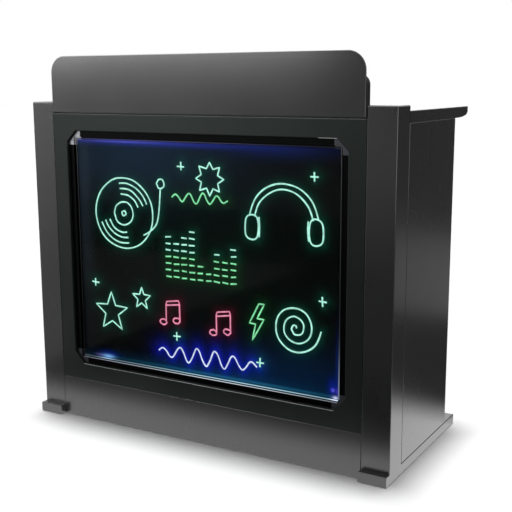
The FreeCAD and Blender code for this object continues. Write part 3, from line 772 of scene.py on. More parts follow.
@dataclass
class Drawing:
    """Freehand marker drawing on the writing board: sound gear, stars and waves, with no lettering.

    All its sizes and places are millimetres from the middle of the board.
    """

    wobble: float = 1.3
    seed: int = 11
    arc_step: float = 18.0            # degrees between the points of a ring
    spiral_points: int = 14           # to a turn
    wave_points: int = 8              # to a swing
    hand: random.Random = field(init=False)

    def __post_init__(self) -> None:
        """Start the hand's wobble from its seed."""
        self.hand = random.Random(self.seed)

    def line(self, points: list[Point], closed: bool = False, soft: bool = True) -> Line:
        """Draw a line with the wobble of a hand.

        Args:
            points: Places that the line is meant to go through.
            closed: Whether it ends where it starts.
            soft: Whether its corners are round.

        Returns:
            The line.
        """
        drift = self.wobble
        moved = []
        for u, v in points:
            moved.append((u + self.hand.uniform(-drift, drift), v + self.hand.uniform(-drift, drift)))
        return Line(moved, closed, soft)

    def arc(self, middle: Point, radius: float, start: float, end: float, flat: float = 1.0) -> Line:
        """Draw part of a ring, or a closed ring over a full turn.

        Args:
            middle: Middle of the ring.
            radius: Its radius.
            start: Angle where it starts, in degrees.
            end: Angle where it ends, in degrees.
            flat: Its height as a share of its width.

        Returns:
            The line.
        """
        u, v = middle
        full = abs(end - start) >= 360
        count = max(6, int(abs(end - start) / self.arc_step))
        steps = count if full else count + 1
        angles = [math.radians(start + (end - start) * step / count) for step in range(steps)]
        points = [(u + radius * math.cos(a), v + flat * radius * math.sin(a)) for a in angles]
        return self.line(points, closed=full)

    def record_deck(self, middle: Point) -> list[Line]:
        """Draw a record with grooves, a label and a tone arm.

        Args:
            middle: Middle of the record.

        Returns:
            Its lines.
        """
        u, v = middle
        lines = [self.arc(middle, radius, 0, 360) for radius in (104, 34, 7)]
        for radius in (56, 72, 88):
            lines.append(self.arc(middle, radius, 20, 100))
            lines.append(self.arc(middle, radius, 200, 280))
        lines.append(self.arc((u + 132, v + 92), 13, 0, 360))
        lines.append(self.line([(u + 130, v + 78), (u + 126, v + 10), (u + 112, v - 40), (u + 70, v - 58)]))
        return lines

    def headphones(self, middle: Point) -> list[Line]:
        """Draw headphones: two bows and two ear cups.

        Args:
            middle: Middle of the bows.

        Returns:
            Their lines.
        """
        u, v = middle
        cup = [(-20, 22), (14, 26), (20, -10), (14, -46), (-20, -42), (-24, -10)]
        pad = [(74, 10), (70, -18), (74, -44)]
        lines = [self.arc(middle, radius, 8, 172) for radius in (88, 104)]
        for side in (-1, 1):
            lines.append(self.line([(u + side * (94 - du), v - 8 + dv) for du, dv in cup], closed=True))
            lines.append(self.line([(u + side * du, v + dv) for du, dv in pad]))
        return lines

    def level_bars(self, middle: Point, columns: int, lit: int) -> list[Line]:
        """Draw columns of dashes, as on a level meter, up to or above the lit rows.

        Args:
            middle: Middle of the lowest row.
            columns: Count of columns.
            lit: Rows of the lower colour; a negative count gives the rows above them.

        Returns:
            The dashes.
        """
        pitch, row, half = 27.0, 19.0, 9.0
        lines = []
        for column in range(columns):
            rows = round(5.2 + 2.4 * math.sin(0.9 * column) + 1.8 * math.cos(2.1 * column))
            span = range(min(rows, lit)) if lit > 0 else range(-lit, rows)
            u = middle[0] + (column - (columns - 1) / 2) * pitch
            for step in span:
                v = middle[1] + step * row
                lines.append(self.line([(u - half, v), (u + half, v)]))
        return lines

    def star(self, middle: Point, radius: float, tips: int = 5, depth: float = 0.42) -> Line:
        """Draw a star outline with straight sides.

        Args:
            middle: Middle of the star.
            radius: Distance to its tips.
            tips: Count of tips.
            depth: Distance to its inner corners, as a share of the radius.

        Returns:
            The outline.
        """
        points = []
        for step in range(2 * tips):
            reach = radius * (depth if step % 2 else 1.0)
            angle = math.pi / 2 + math.pi * step / tips
            points.append((middle[0] + reach * math.cos(angle), middle[1] + reach * math.sin(angle)))
        return self.line(points, closed=True, soft=False)

    def notes(self, middle: Point) -> list[Line]:
        """Draw two quavers under one beam.

        Args:
            middle: Middle of the pair.

        Returns:
            Their lines.
        """
        u, v = middle
        lines = [self.arc((u + du, v + dv), 11, 0, 360, flat=0.75) for du, dv in ((-22, -30), (24, -22))]
        stems = [(u - 11, v - 28), (u - 11, v + 30), (u + 35, v + 38), (u + 35, v - 20)]
        lines.append(self.line(stems, soft=False))
        lines.append(self.line([(u - 11, v + 19), (u + 35, v + 27)], soft=False))
        return lines

    def spiral(self, middle: Point, turns: float, radius: float) -> Line:
        """Draw a spiral that opens outwards.

        Args:
            middle: Where it starts.
            turns: Count of turns.
            radius: Distance to its end.

        Returns:
            The line.
        """
        count = int(turns * self.spiral_points)
        points = []
        for step in range(count + 1):
            angle = 2 * math.pi * turns * step / count
            reach = radius * step / count
            points.append((middle[0] + reach * math.cos(angle), middle[1] + reach * math.sin(angle)))
        return self.line(points)

    def bolt(self, middle: Point, size: float) -> Line:
        """Draw the outline of a lightning bolt.

        Args:
            middle: Middle of the bolt.
            size: Half its height.

        Returns:
            The outline.
        """
        shape = [
            (0.15, 1.0), (-0.45, -0.1), (-0.05, -0.1), (-0.25, -1.0), (0.45, 0.2), (0.05, 0.2), (0.45, 1.0),
        ]
        points = [(middle[0] + size * u, middle[1] + size * v) for u, v in shape]
        return self.line(points, closed=True, soft=False)

    def wave(self, start: Point, length: float, height: float, swings: float) -> Line:
        """Draw a wavy line that swells in the middle.

        Args:
            start: Its left end.
            length: Distance to its right end.
            height: Largest swing to each side.
            swings: Count of full swings.

        Returns:
            The line.
        """
        count = int(swings * self.wave_points)
        points = []
        for step in range(count + 1):
            share = step / count
            swell = height * (0.35 + 0.65 * math.sin(math.pi * share))
            swing = math.sin(2 * math.pi * swings * share)
            points.append((start[0] + length * share, start[1] + swell * swing))
        return self.line(points)

    def cross(self, middle: Point, reach: float) -> list[Line]:
        """Draw a small sparkle of two crossing lines."""
        u, v = middle
        return [self.line([(u - reach, v), (u + reach, v)]), self.line([(u, v - reach), (u, v + reach)])]

    def motifs(self) -> Motifs:
        """Draw every motif.

        Returns:
            Marker and lines of each motif, by name.
        """
        mint, green, pink, ice = Marker
        sparkles = [(-60, 262), (352, 252), (-376, -96), (378, -70), (-84, -226), (190, -262)]
        return {
            "drawn_record": (mint, self.record_deck((-262, 118))),
            "drawn_headphones": (mint, self.headphones((262, 128))),
            "drawn_levels_low": (green, self.level_bars((0, -52), 9, 4)),
            "drawn_levels_high": (mint, self.level_bars((0, -52), 9, -4)),
            "drawn_star_left": (mint, [self.star((-318, -182), 62)]),
            "drawn_star_small": (mint, [self.star((-206, -128), 34)]),
            "drawn_star_top": (mint, [self.star((34, 232), 46, tips=8, depth=0.62)]),
            "drawn_spiral": (mint, [self.spiral((300, -150), 3.0, 74)]),
            "drawn_bolt": (green, [self.bolt((180, -150), 52)]),
            "drawn_notes_left": (pink, self.notes((-108, -158))),
            "drawn_notes_right": (pink, self.notes((62, -168))),
            "drawn_wave": (ice, [self.wave((-150, -276), 330, 26, 5.5)]),
            "drawn_wave_far": (green, [self.wave((-92, 176), 184, 16, 4.0)]),
            "drawn_sparkles": (mint, [line for place in sparkles for line in self.cross(place, 12)]),
        }


@dataclass
class WritingBoard:
    """Edge-lit writing board: clear sheet, lit backing, frame, corners, beads, foam and the drawing."""

    drawing: Drawing
    line_width: float = 5.2 * MM
    line_thickness: float = 0.5 * MM
    line_pressure: Point = (0.85, 1.1)    # least and most width of a line, as a share of its own
    line_merge: float = 0.05 * MM
    backing_pitch: float = 5.0 * MM
    backing_gap: float = 0.2 * MM
    backing_corner_leg: float = 26.2 * MM
    halo_step_mm: float = 5.0             # between the places that throw a halo
    bead_width: float = 3.0 * MM
    bead_thickness: float = 1.2 * MM
    bead_offset: float = 1.2 * MM         # from the inner edge of the lip
    step_bead_width: float = 2.0 * MM
    step_rise: float = 4.8 * MM           # step bead ahead of the lip, just behind the raised face
    lip_thickness: float = 1.5 * MM
    lip_width: float = 8.0 * MM
    foam_size: Place = (44.0 * MM, 6.0 * MM, 2.4 * MM)
    foam_setback: float = 10.0 * MM       # behind the panel's face
    foam_reach: Point = (-416.0 * MM, 362.0 * MM)     # of the strip over the board
    top_foam_share: float = 0.9           # of the gap that this strip fills
    corner_leg: float = 32.0 * MM         # of the chamfer on the corners
    corner_gap: float = 2.0 * MM          # to the front panel, across and up
    round_share: float = 0.3              # radius of a soft edge, as a share of the thinnest side
    sheet_front: float = field(init=False)
    half_across: float = field(init=False)
    half_up: float = field(init=False)
    middle_z: float = field(init=False)

    def __post_init__(self) -> None:
        """Read the places of the sheet and of the frame's inner lips from the model."""
        self.sheet_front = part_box("writing_sheet")[0].y
        self.half_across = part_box("board_frame_right")[0].x
        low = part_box("board_frame_bottom")[1].z
        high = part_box("board_frame_top")[0].z
        self.half_up = (high - low) / 2
        self.middle_z = (high + low) / 2

    def build(self) -> None:
        """Make the new pieces and dress the model's own."""
        motifs = self.drawing.motifs()
        self.draw(motifs)
        self.lit_backing(motifs)
        self.beads()
        self.foam_strips()
        self.dress()

    def dress(self) -> None:
        """Give the sheet, frame, corners and strips their finishes."""
        sides = [side.name.lower() for side in Side]
        shaded_corners = ("board_corner_bottom_left", "board_corner_top_right", "board_corner_bottom_right")
        dress_nodes({
            # Dyed oxide: nearly black, with a thin metal sheen along the draw lines
            tuple("board_frame_" + side for side in sides): DrawnMetal(
                "black anodised aluminium, extruded", "#171818", 0.34, metallic=1.0, other="#1e1f1f",
            ),
            # A plated casting: grey, with a broad soft mirror, its colour painted lighter than on the other
            # corners as a highlight
            ("board_corner_top_left",): DrawnMetal(
                "zinc, die cast and satin plated", "#c4c8cc", 0.42, metallic=1.0, other="#ced2d6",
            ),
            # The same casting painted darker, as shade on the other three corners
            shaded_corners: DrawnMetal(
                "zinc, die cast and tarnished", "#606268", 0.42, metallic=1.0, other="#56585e",
            ),
            # Polished and clear: what lies behind shows, under a thin mirror
            ("writing_sheet",): CastAcrylic("clear cast acrylic, polished", "#0b0e0e", 0.05, ior=1.49),
            # Milky silicone lit from inside
            tuple("light_strip_" + side for side in sides): GlowingFinish(
                "light tape, silicone over chips", "#dfe6ff", 0.4, glow="#6f86ff", strength=2.5,
            ),
        })

    def draw(self, motifs: Motifs) -> None:
        """Model every motif on the front of the sheet.

        Args:
            motifs: Marker and lines of each motif.
        """
        inks = {marker: marker.finish().build() for marker in Marker}
        for name, (marker, lines) in motifs.items():
            keep_piece(self.marker_lines(lines), name, inks[marker], Body.CARCASS)

    def marker_lines(self, lines: list[Line]) -> Piece:
        """Model lines as flat rounded ridges of ink on the sheet.

        Args:
            lines: Lines of one motif.

        Returns:
            One mesh with all of them.
        """
        deselect()
        bpy.ops.curve.primitive_nurbs_path_add(location=(0, 0, 0))
        curve = bpy.context.object.data
        curve.splines.clear()
        curve.bevel_depth = self.line_width / 2
        curve.bevel_resolution = 1
        curve.use_fill_caps = True
        for line in lines:
            spline = curve.splines.new("NURBS")
            spline.points.add(len(line.points) - 1)
            for point, (u, v) in zip(spline.points, line.points):
                point.co = (u * MM, 0.0, self.middle_z + v * MM, 1.0)
                point.radius = self.drawing.hand.uniform(*self.line_pressure)
            spline.use_cyclic_u = line.closed
            spline.use_endpoint_u = not line.closed
            spline.order_u = 3 if line.soft else 2
            spline.resolution_u = 5
        bpy.ops.object.convert(target="MESH")
        bpy.ops.object.mode_set(mode="EDIT")
        bpy.ops.mesh.select_all(action="SELECT")
        bpy.ops.mesh.remove_doubles(threshold=self.line_merge)
        flatten = (1, self.line_thickness / self.line_width, 1)
        bpy.ops.transform.resize(value=flatten, center_override=(0, 0, 0))
        bpy.ops.transform.translate(value=(0, self.sheet_front - self.line_thickness / 2, 0))
        bpy.ops.mesh.normals_make_consistent(inside=False)
        bpy.ops.object.mode_set(mode="OBJECT")
        bpy.ops.object.shade_smooth()
        return bpy.context.object

    def lit_backing(self, motifs: Motifs) -> None:
        """Replace the backing by a fine mesh that can hold the halo of the drawing.

        Args:
            motifs: Marker and lines of each motif.
        """
        low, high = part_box("backing_sheet")
        size = high - low
        deselect()
        bpy.ops.mesh.primitive_grid_add(
            x_subdivisions=int(size.x / self.backing_pitch),
            y_subdivisions=int(size.z / self.backing_pitch),
            size=1.0,
            location=((low.x + high.x) / 2, low.y + self.backing_gap, (low.z + high.z) / 2),
            rotation=(math.radians(90), 0, 0),
        )
        piece = bpy.context.object
        piece.scale = (size.x, size.z, 1.0)
        bpy.ops.object.transform_apply()
        self.cut_corners(low, high)
        wall = piece.modifiers.new("thickness", "SOLIDIFY")
        wall.thickness = size.y - self.backing_gap
        wall.offset = -1.0
        bpy.ops.object.modifier_apply(modifier=wall.name)
        self.paint_halo(piece, motifs)
        # Dull and black by itself: all that shows on it is the light thrown on it
        finish = LitBacking(
            "black PVC sheet, matt, edge lit", "#050606", 0.6,
            middle_z=self.middle_z, front_y=low.y + size.y / 2, glows=EDGE_LIGHT,
        )
        keep_piece(piece, "lit_backing", finish.build(), Body.CARCASS)
        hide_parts("backing_sheet")

    def cut_corners(self, low: Vector, high: Vector) -> None:
        """Cut the corners off the active sheet, as the model's own sheet has them.

        Args:
            low: Lowest corner of the sheet.
            high: Highest corner of the sheet.
        """
        inset = self.backing_corner_leg / 2
        bpy.ops.object.mode_set(mode="EDIT")
        for across, x in ((-1, low.x + inset), (1, high.x - inset)):
            for up, z in ((-1, low.z + inset), (1, high.z - inset)):
                bpy.ops.mesh.select_all(action="SELECT")
                bpy.ops.mesh.bisect(plane_co=(x, low.y, z), plane_no=(across, 0, up), clear_outer=True)
        bpy.ops.object.mode_set(mode="OBJECT")

    def paint_halo(self, piece: Piece, motifs: Motifs) -> None:
        """Store the light round the drawn lines as a colour on the backing's front.

        Args:
            piece: Backing mesh.
            motifs: Marker and lines of each motif.
        """
        trees = {marker.value: self.tree_of(marker, motifs) for marker in Marker}
        halo = piece.data.color_attributes.new(name="halo", type="FLOAT_COLOR", domain="POINT")
        for vertex, item in zip(piece.data.vertices, halo.data):
            light = Vector((0.0, 0.0, 0.0))
            for ink, tree in trees.items():
                gap = tree.find((vertex.co.x, 0.0, vertex.co.z))[2] / (ink.reach_mm * MM)
                light += Vector(linear(ink.halo)[:3]) * ink.strength * math.exp(-gap)
            item.color = (*light, 1.0)

    def tree_of(self, marker: Marker, motifs: Motifs) -> KDTree:
        """Gather the places along all lines of one marker.

        Args:
            marker: The marker.
            motifs: Marker and lines of each motif.

        Returns:
            Search tree of the places.
        """
        lines = [line for used, drawn in motifs.values() if used is marker for line in drawn]
        places = [place for line in lines for place in self.along(line)]
        tree = KDTree(len(places))
        for index, (u, v) in enumerate(places):
            tree.insert((u * MM, 0.0, self.middle_z + v * MM), index)
        tree.balance()
        return tree

    def along(self, line: Line) -> list[Point]:
        """List places along a line, a few millimetres apart.

        Args:
            line: The line.

        Returns:
            The places.
        """
        ends = line.points + line.points[:1] if line.closed else line.points
        places = []
        for (u0, v0), (u1, v1) in zip(ends, ends[1:]):
            count = max(1, int(math.hypot(u1 - u0, v1 - v0) / self.halo_step_mm))
            places += [(u0 + (u1 - u0) * i / count, v0 + (v1 - v0) * i / count) for i in range(count + 1)]
        return places

    def beads(self) -> None:
        """Seat a slim clear bead on each inner lip, and one in the step of the lowest bar."""
        lip_y = self.sheet_front - self.lip_thickness
        out = self.bead_offset + self.bead_width / 2
        for side, glows in LIP_LIGHT.items():
            across, up = side.value
            seat = (across * (self.half_across + out), lip_y, self.middle_z + up * (self.half_up + out))
            size = (self.bead_width, 2 * self.half_up) if across else (2 * self.half_across, self.bead_width)
            name = side.name.lower()
            self.bead(f"lip_bead_{name}", f"{name} lip", seat, size, glows)
        step_z = self.middle_z - self.half_up - self.lip_width + self.step_bead_width / 2
        size = (2 * self.half_across, self.step_bead_width)
        self.bead("step_bead", "step", (0.0, lip_y - self.step_rise, step_z), size, STEP_LIGHT)

    def bead(self, name: str, where: str, seat: Place, size: Point, glows: tuple[Glow, ...]) -> None:
        """Model one bead and light it.

        Args:
            name: Name of the piece.
            where: Place in words, for the name of its finish.
            seat: Middle of its back face.
            size: Its extent across and up.
            glows: Light along it.
        """
        thick = self.bead_thickness
        middle = (seat[0], seat[1] - thick / 2, seat[2])
        radius = self.round_share * min(thick, *size)
        bead = soft_strip(middle, (size[0], thick, size[1]), radius, segments=2)
        # Rubbery and clear: dark by itself, lit by the strip behind it
        finish = EdgeLit(
            f"clear silicone bead, {where}", "#15181a", 0.35, middle_z=self.middle_z, glows=glows,
        )
        keep_piece(bead, name, finish.build(), Body.CARCASS)

    def foam_strips(self) -> None:
        """Close the gap between the frame and the front panel with foam, at each corner and over the top."""
        # Closed cells: dead black
        foam = GrainedFinish("polyethylene foam tape, black", "#0c0c0c", 0.85, other="#101010").build()
        low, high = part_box("board_corner_bottom_left")[0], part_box("board_corner_top_right")[1]
        inset = (self.corner_leg - self.corner_gap) / 2
        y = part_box("front_panel")[0].y + self.foam_setback + self.foam_size[1] / 2
        strip = soft_strip((0, 0, 0), self.foam_size, self.round_share * self.foam_size[2], segments=3)
        strips = iter(copies(strip, 4))
        for level, up, z in (("bottom", -1, low.z + inset), ("top", 1, high.z - inset)):
            for side, across, x in (("left", -1, low.x + inset), ("right", 1, high.x - inset)):
                piece = next(strips)
                piece.location = (x, y, z)
                piece.rotation_euler.y = math.radians(45 * across * up)
                settle(piece)
                keep_piece(piece, f"corner_foam_{level}_{side}", foam, Body.CARCASS)
        start, end = self.foam_reach
        size = (end - start, self.foam_size[1], self.top_foam_share * self.corner_gap)
        middle = ((start + end) / 2, y, high.z + self.corner_gap / 2)
        over = soft_strip(middle, size, self.round_share * min(size), segments=2)
        keep_piece(over, "top_foam", foam, Body.CARCASS)


@dataclass
class Carcass:
    """Boards, battens, feet, brackets, hinges and screws of the booth."""

    boards: tuple[str, ...] = (
        "kick_panel", "worktop", "lower_shelf", "left_side_panel", "right_side_panel",
        "left_post", "right_post", "left_foot", "right_foot",
    )
    battens: tuple[str, ...] = (
        "left_shelf_cleat", "right_shelf_cleat", "left_worktop_cleat", "right_worktop_cleat",
    )
    rubbers: tuple[str, ...] = ("foot_glides", "header_buffers")
    steels: tuple[str, ...] = (
        "corner_brackets", "hinge_worktop_leaves", "hinge_header_leaves", "board_clips",
    )
    screws: tuple[str, ...] = (
        "foot_bolts", "bracket_screws", "hinge_pins", "worktop_hinge_screws", "header_hinge_screws",
        "clip_screws", "cover_screws",
    )
    clearance: float = 2.0 * MM       # of the cut-out round the writing board

    def cut_out(self) -> dict[str, float]:
        """Find the edges of the front panel that get a painted highlight.

        Returns:
            Heights of the cut-out's sill and of the panel's top, and the place of its face.
        """
        low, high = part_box("front_panel")
        sill_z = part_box("board_frame_bottom")[0].z - self.clearance
        return {"sill_z": sill_z, "top_z": high.z, "front_y": low.y}

    def build(self) -> None:
        """Dress every board, batten, bracket and screw."""
        dress_nodes({
            # Pressed resin over board: black, with a soft mirror that blurs what stands round it
            self.boards: SatinLaminate(
                "black melamine board, satin", "#121313", 0.28, ior=1.7, coat_roughness=0.22, coat_ior=1.55,
            ),
            # The same with less gloss and a hint of green, and a painted highlight along the cut-out's sill
            # and the top edge
            ("front_panel",): RoutedLaminateWithHighlight(
                "black melamine board, low sheen, routed", "#101413", 0.36, worn="#151a19", coat=0.2,
                tint="#dcf0e8", **self.cut_out(),
            ),
            # Brown grain shows faintly through the stain
            self.battens: StainedPine("pine, planed and stained black", "#171514", 0.6),
            # Dull and slightly rough
            self.rubbers: GrainedFinish("black rubber, moulded", "#141414", 0.75, depth_mm=0.1),
            # A fine even grain with a dull shine
            self.steels: GrainedFinish(
                "steel, black powder coat", "#17181a", 0.48, grain_mm=0.8, depth_mm=0.06,
            ),
            # Bright and slightly streaked
            self.screws: DrawnMetal("steel, zinc plated", "#a9abae", 0.28, metallic=1.0, other="#8f9296"),
        })


@dataclass
class Header:
    """Folding header: a thin face plate ahead of a lower board with the hinges, and two tall buffers."""

    plate_thickness: float = 4.8 * MM
    plate_setback: float = 2.0 * MM       # of each end, from the end of the board
    plate_radius: float = 48.0 * MM
    plate_easing: float = 1.8 * MM
    board_height: float = 104.0 * MM
    board_radius: float = 26.0 * MM
    board_easing: float = 2.0 * MM
    corner_facets: int = 16
    buffer_tip: float = 7.5 * MM
    buffer_easing: float = 1.2 * MM
    buffer_sides: int = 40
    easing_facets: int = 3
    easing_angle: float = 50.0            # edges that are sharper than this are eased

    def build(self) -> None:
        """Model the plate, the board and the buffers in place of the plain header."""
        # Pressed resin sheet: black and flat, with a clearer mirror than the boards
        sheet = SatinLaminate(
            "black compact laminate sheet, satin", "#121313", 0.25, ior=1.7,
            coat_roughness=0.18, coat_ior=1.55,
        )
        # Rolled paint on fibreboard: dull, with hardly any mirror
        paint = SatinLaminate("fibreboard, painted matt black", "#121313", 0.6, ior=1.45, coat=0.0)
        dress_nodes({("header_panel",): paint})
        low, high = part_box("header_panel")
        start = Vector((low.x + self.plate_setback, low.y - self.plate_thickness, low.z))
        end = Vector((high.x - self.plate_setback, low.y, high.z))
        plate = self.upright(start, end, self.plate_radius)
        self.ease(plate, self.plate_easing)
        keep_piece(plate, "header_plate", sheet.build(), Body.HEADER)
        board = self.upright(low, Vector((high.x, high.y, low.z + self.board_height)), self.board_radius)
        self.ease(board, self.board_easing)
        keep_piece(board, "header_board", worn_by("header_panel"), Body.HEADER)
        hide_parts("header_panel")
        self.buffers(low.y)

    def buffers(self, seat_y: float) -> None:
        """Model the two rubber buffers, from the back of the plate to where they meet the worktop.

        Args:
            seat_y: Back of the plate.
        """
        low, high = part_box("header_buffers")
        radius = (high.z - low.z) / 2
        deselect()
        bpy.ops.mesh.primitive_cone_add(
            vertices=self.buffer_sides, radius1=radius, radius2=self.buffer_tip, depth=high.y - seat_y,
            location=(low.x + radius, (seat_y + high.y) / 2, (low.z + high.z) / 2),
            rotation=(math.radians(-90), 0, 0),
        )
        bpy.ops.object.transform_apply()
        self.ease(bpy.context.object, self.buffer_easing)
        left, right = copies(bpy.context.object, 2)
        right.location.x = high.x - low.x - 2 * radius
        settle(right)
        for name, piece in (("left", left), ("right", right)):
            keep_piece(piece, f"header_buffer_{name}", worn_by("header_buffers"), Body.HEADER)
            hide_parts("header_buffers")

    def upright(self, low: Vector, high: Vector, radius: float) -> Piece:
        """Model an upright board with two round top corners.

        Args:
            low: Its lowest corner.
            high: Its highest corner.
            radius: Radius of the top corners.

        Returns:
            The board.
        """
        middle = (low + high) / 2
        piece = block(middle, high - low)
        bpy.ops.object.mode_set(mode="EDIT")
        bpy.ops.mesh.select_mode(type="EDGE")
        bpy.ops.mesh.select_all(action="DESELECT")
        bpy.ops.object.mode_set(mode="OBJECT")
        for edge in piece.data.edges:
            start, end = (piece.data.vertices[index].co for index in edge.vertices)
            runs_back = abs(start.y - end.y) > abs(start.x - end.x)
            edge.select = runs_back and min(start.z, end.z) > middle.z
        bpy.ops.object.mode_set(mode="EDIT")
        bpy.ops.mesh.bevel(offset=radius, segments=self.corner_facets)
        bpy.ops.object.mode_set(mode="OBJECT")
        return piece

    def ease(self, piece: Piece, easing: float) -> None:
        """Round the edges of the active piece and keep its flat faces flat.

        Args:
            piece: The piece.
            easing: Radius of its edges.
        """
        edges = piece.modifiers.new("eased edges", "BEVEL")
        edges.width = easing
        edges.segments = self.easing_facets
        edges.limit_method = "ANGLE"
        edges.angle_limit = math.radians(self.easing_angle)
        bpy.ops.object.modifier_apply(modifier=edges.name)
        bpy.ops.object.shade_smooth_by_angle(angle=SMOOTH_ANGLE)
        flats = piece.modifiers.new("flat faces", "WEIGHTED_NORMAL")
        flats.keep_sharp = True
        bpy.ops.object.modifier_apply(modifier=flats.name)


@dataclass
class Controller:
    """Small controller on the back of the writing board."""

    shells: tuple[str, ...] = ("controller_case", "controller_cover", "dc_inlet", "button_switches")
    buttons: tuple[str, ...] = ("mode_button", "power_button", "speed_button")

    def build(self) -> None:
        """Dress the case, its buttons, its window and its circuit board."""
        dress_nodes({
            # Spark-grained moulding: dull, with a fine sparkle
            self.shells: GrainedFinish("black ABS, moulded", "#161718", 0.5, grain_mm=0.9, depth_mm=0.07),
            # Polished moulding: a clear highlight
            self.buttons: GrainedFinish(
                "grey ABS, moulded glossy", "#8c9094", 0.3, depth_mm=0.02, other="#9a9ea2",
            ),
            # Glassy and almost black red
            ("infrared_window",): GrainedFinish(
                "dark red polycarbonate, moulded", "#3a0a0e", 0.12, ior=1.58,
                depth_mm=0.01, other="#4a0d12", spread=0.03,
            ),
            # Green lacquer over paler tracks
            ("controller_circuit",): SolderMask("circuit board, green solder mask", "#0d4a26", 0.3),
        })


@dataclass(frozen=True)
class Card:
    """Flat card of the studio that only reflections see, lit evenly.

    Attributes:
        name: Name of the card.
        place: Its middle.
        size: Its width and height.
        turn: How it stands.
        light: Light that it gives.
    """

    name: str
    place: Place
    size: Point
    turn: Turn
    light: float


@dataclass
class Studio:
    """Pale floor, soft light, cards round the booth and the camera."""

    floor_size: float = 60.0
    floor_colour: str = "#f1f1f1"
    floor_roughness: float = 0.9
    floor_lift: float = 0.02          # light that the floor gives by itself where it is seen
    ambient: float = 0.07
    sun_power: float = 3.35
    sun_angle: float = 9.0
    sun_from: Place = (-0.035, 0.055, 1.0)
    softbox_place: Place = (-1.3, -1.5, 2.0)
    softbox_aim: Place = (-0.3, -0.25, 1.0)
    softbox_size: float = 0.9
    softbox_power: float = 14.0
    white_front: float = 0.12         # reach of the white floor card ahead of the booth
    white_back: float = -0.04         # and behind it
    white_side: float = 0.7
    fade: tuple[float, ...] = (0.8, 0.6, 0.4, 0.22, 0.1)   # light of the floor cards beyond the white one
    fade_front: float = 0.025         # depth of each of them ahead of the booth
    fade_back: float = 0.04           # and behind it
    card_reach: float = 4.0
    card_lift: float = 2 * MM         # of the floor cards over the floor
    dark_lift: float = 3 * MM         # of the darkest one, over the others
    dark_depth: float = 0.4
    corner_x: float = -0.9            # where the two floor cards ahead of the booth meet
    grey_distance: float = 1.2        # from the booth's back to the paler floor card
    wall_distance: float = 2.6
    back_distance: float = 3.5
    wall_height: float = 2.4
    # Name, upper edge and light of each band of the front wall, from the floor up
    bands: tuple[tuple[str, float, float], ...] = (
        ("low", 0.3, 0.05), ("middle", 0.7, 0.25), ("high", 0.86, 0.29), ("top", 2.4, 0.08),
    )
    camera_place: Place = (1.3996, -2.3421, 1.0174)
    camera_yaw: float = 30.147
    camera_pitch: float = 10.688
    camera_roll: float = -0.214
    focal_pixels: float = 925.0
    frame_pixels: float = 512.0
    near_y: float = field(init=False)     # front edge of the white floor card
    far_y: float = field(init=False)      # its back edge
    side_x: float = field(init=False)     # its right edge

    def __post_init__(self) -> None:
        """Lay out the white floor card round the booth."""
        low, high = cad_box
        self.near_y = low.y - self.white_front
        self.far_y = high.y + self.white_back
        self.side_x = high.x + self.white_side

    def build(self) -> None:
        """Set up the whole studio."""
        bpy.context.scene.view_settings.view_transform = "Standard"
        self.camera()
        self.floor()
        self.world()
        self.lamps()
        for card in self.fade_cards() + self.band_cards() + self.plain_cards():
            self.hang(card)

    def camera(self) -> None:
        """Put the camera where the photograph was taken from."""
        yaw, pitch, roll = (math.radians(a) for a in (self.camera_yaw, self.camera_pitch, self.camera_roll))
        ahead = Vector((-math.sin(yaw) * math.cos(pitch), math.cos(yaw) * math.cos(pitch), -math.sin(pitch)))
        level = Vector((math.cos(yaw), math.sin(yaw), 0.0))
        rise = level.cross(ahead)
        right = math.cos(roll) * level + math.sin(roll) * rise
        up = math.cos(roll) * rise - math.sin(roll) * level
        data = bpy.data.cameras.new("photo_camera")
        data.sensor_width = 36.0
        data.lens = data.sensor_width * self.focal_pixels / self.frame_pixels
        camera = bpy.data.objects.new("photo_camera", data)
        bpy.context.scene.collection.objects.link(camera)
        axes = Matrix((right, up, -ahead)).transposed().to_4x4()
        camera.matrix_world = Matrix.Translation(self.camera_place) @ axes
        bpy.context.scene.camera = camera

    def seen(self, tree: Tree) -> Socket:
        """Tell what is seen from what lights the booth.

        Args:
            tree: Node tree to add to.

        Returns:
            1 for what the camera, mirrors and glass see, 0 for what lights the booth.
        """
        path = add_node(tree, "ShaderNodeLightPath").outputs
        either = {0: path["Is Camera Ray"], 1: path["Is Glossy Ray"]}
        mirror = add_node(tree, "ShaderNodeMath", either, operation="MAXIMUM").outputs["Value"]
        either = {0: mirror, 1: path["Is Transmission Ray"]}
        return add_node(tree, "ShaderNodeMath", either, operation="MAXIMUM").outputs["Value"]

    def floor(self) -> None:
        """Lay the pale floor, which keeps the booth's shadow."""
        deselect()
        bpy.ops.mesh.primitive_plane_add(size=self.floor_size)
        floor = bpy.context.object
        floor.name = "studio_floor"
        material = bpy.data.materials.new("white painted studio floor")
        material.use_nodes = True
        tree = material.node_tree
        lifted = {0: self.seen(tree), 1: self.floor_lift}
        lift = add_node(tree, "ShaderNodeMath", lifted, operation="MULTIPLY")
        fill(tree, tree.nodes["Principled BSDF"], {
            "Base Color": linear(self.floor_colour),
            "Roughness": self.floor_roughness,
            "Specular IOR Level": 0.0,
            "Emission Color": WHITE,
            "Emission Strength": lift.outputs["Value"],
        })
        floor.data.materials.append(material)

    def world(self) -> None:
        """White all round for what is seen, and a softer white that lights the booth."""
        world = bpy.data.worlds.new("studio")
        world.use_nodes = True
        tree = world.node_tree
        tree.nodes.clear()
        lights = add_node(tree, "ShaderNodeBackground", {"Color": WHITE, "Strength": self.ambient})
        shows = add_node(tree, "ShaderNodeBackground", {"Color": WHITE, "Strength": 1.0})
        mix = add_node(tree, "ShaderNodeMixShader", {
            0: self.seen(tree), 1: lights.outputs["Background"], 2: shows.outputs["Background"],
        })
        add_node(tree, "ShaderNodeOutputWorld", {"Surface": mix.outputs["Shader"]})
        bpy.context.scene.world = world

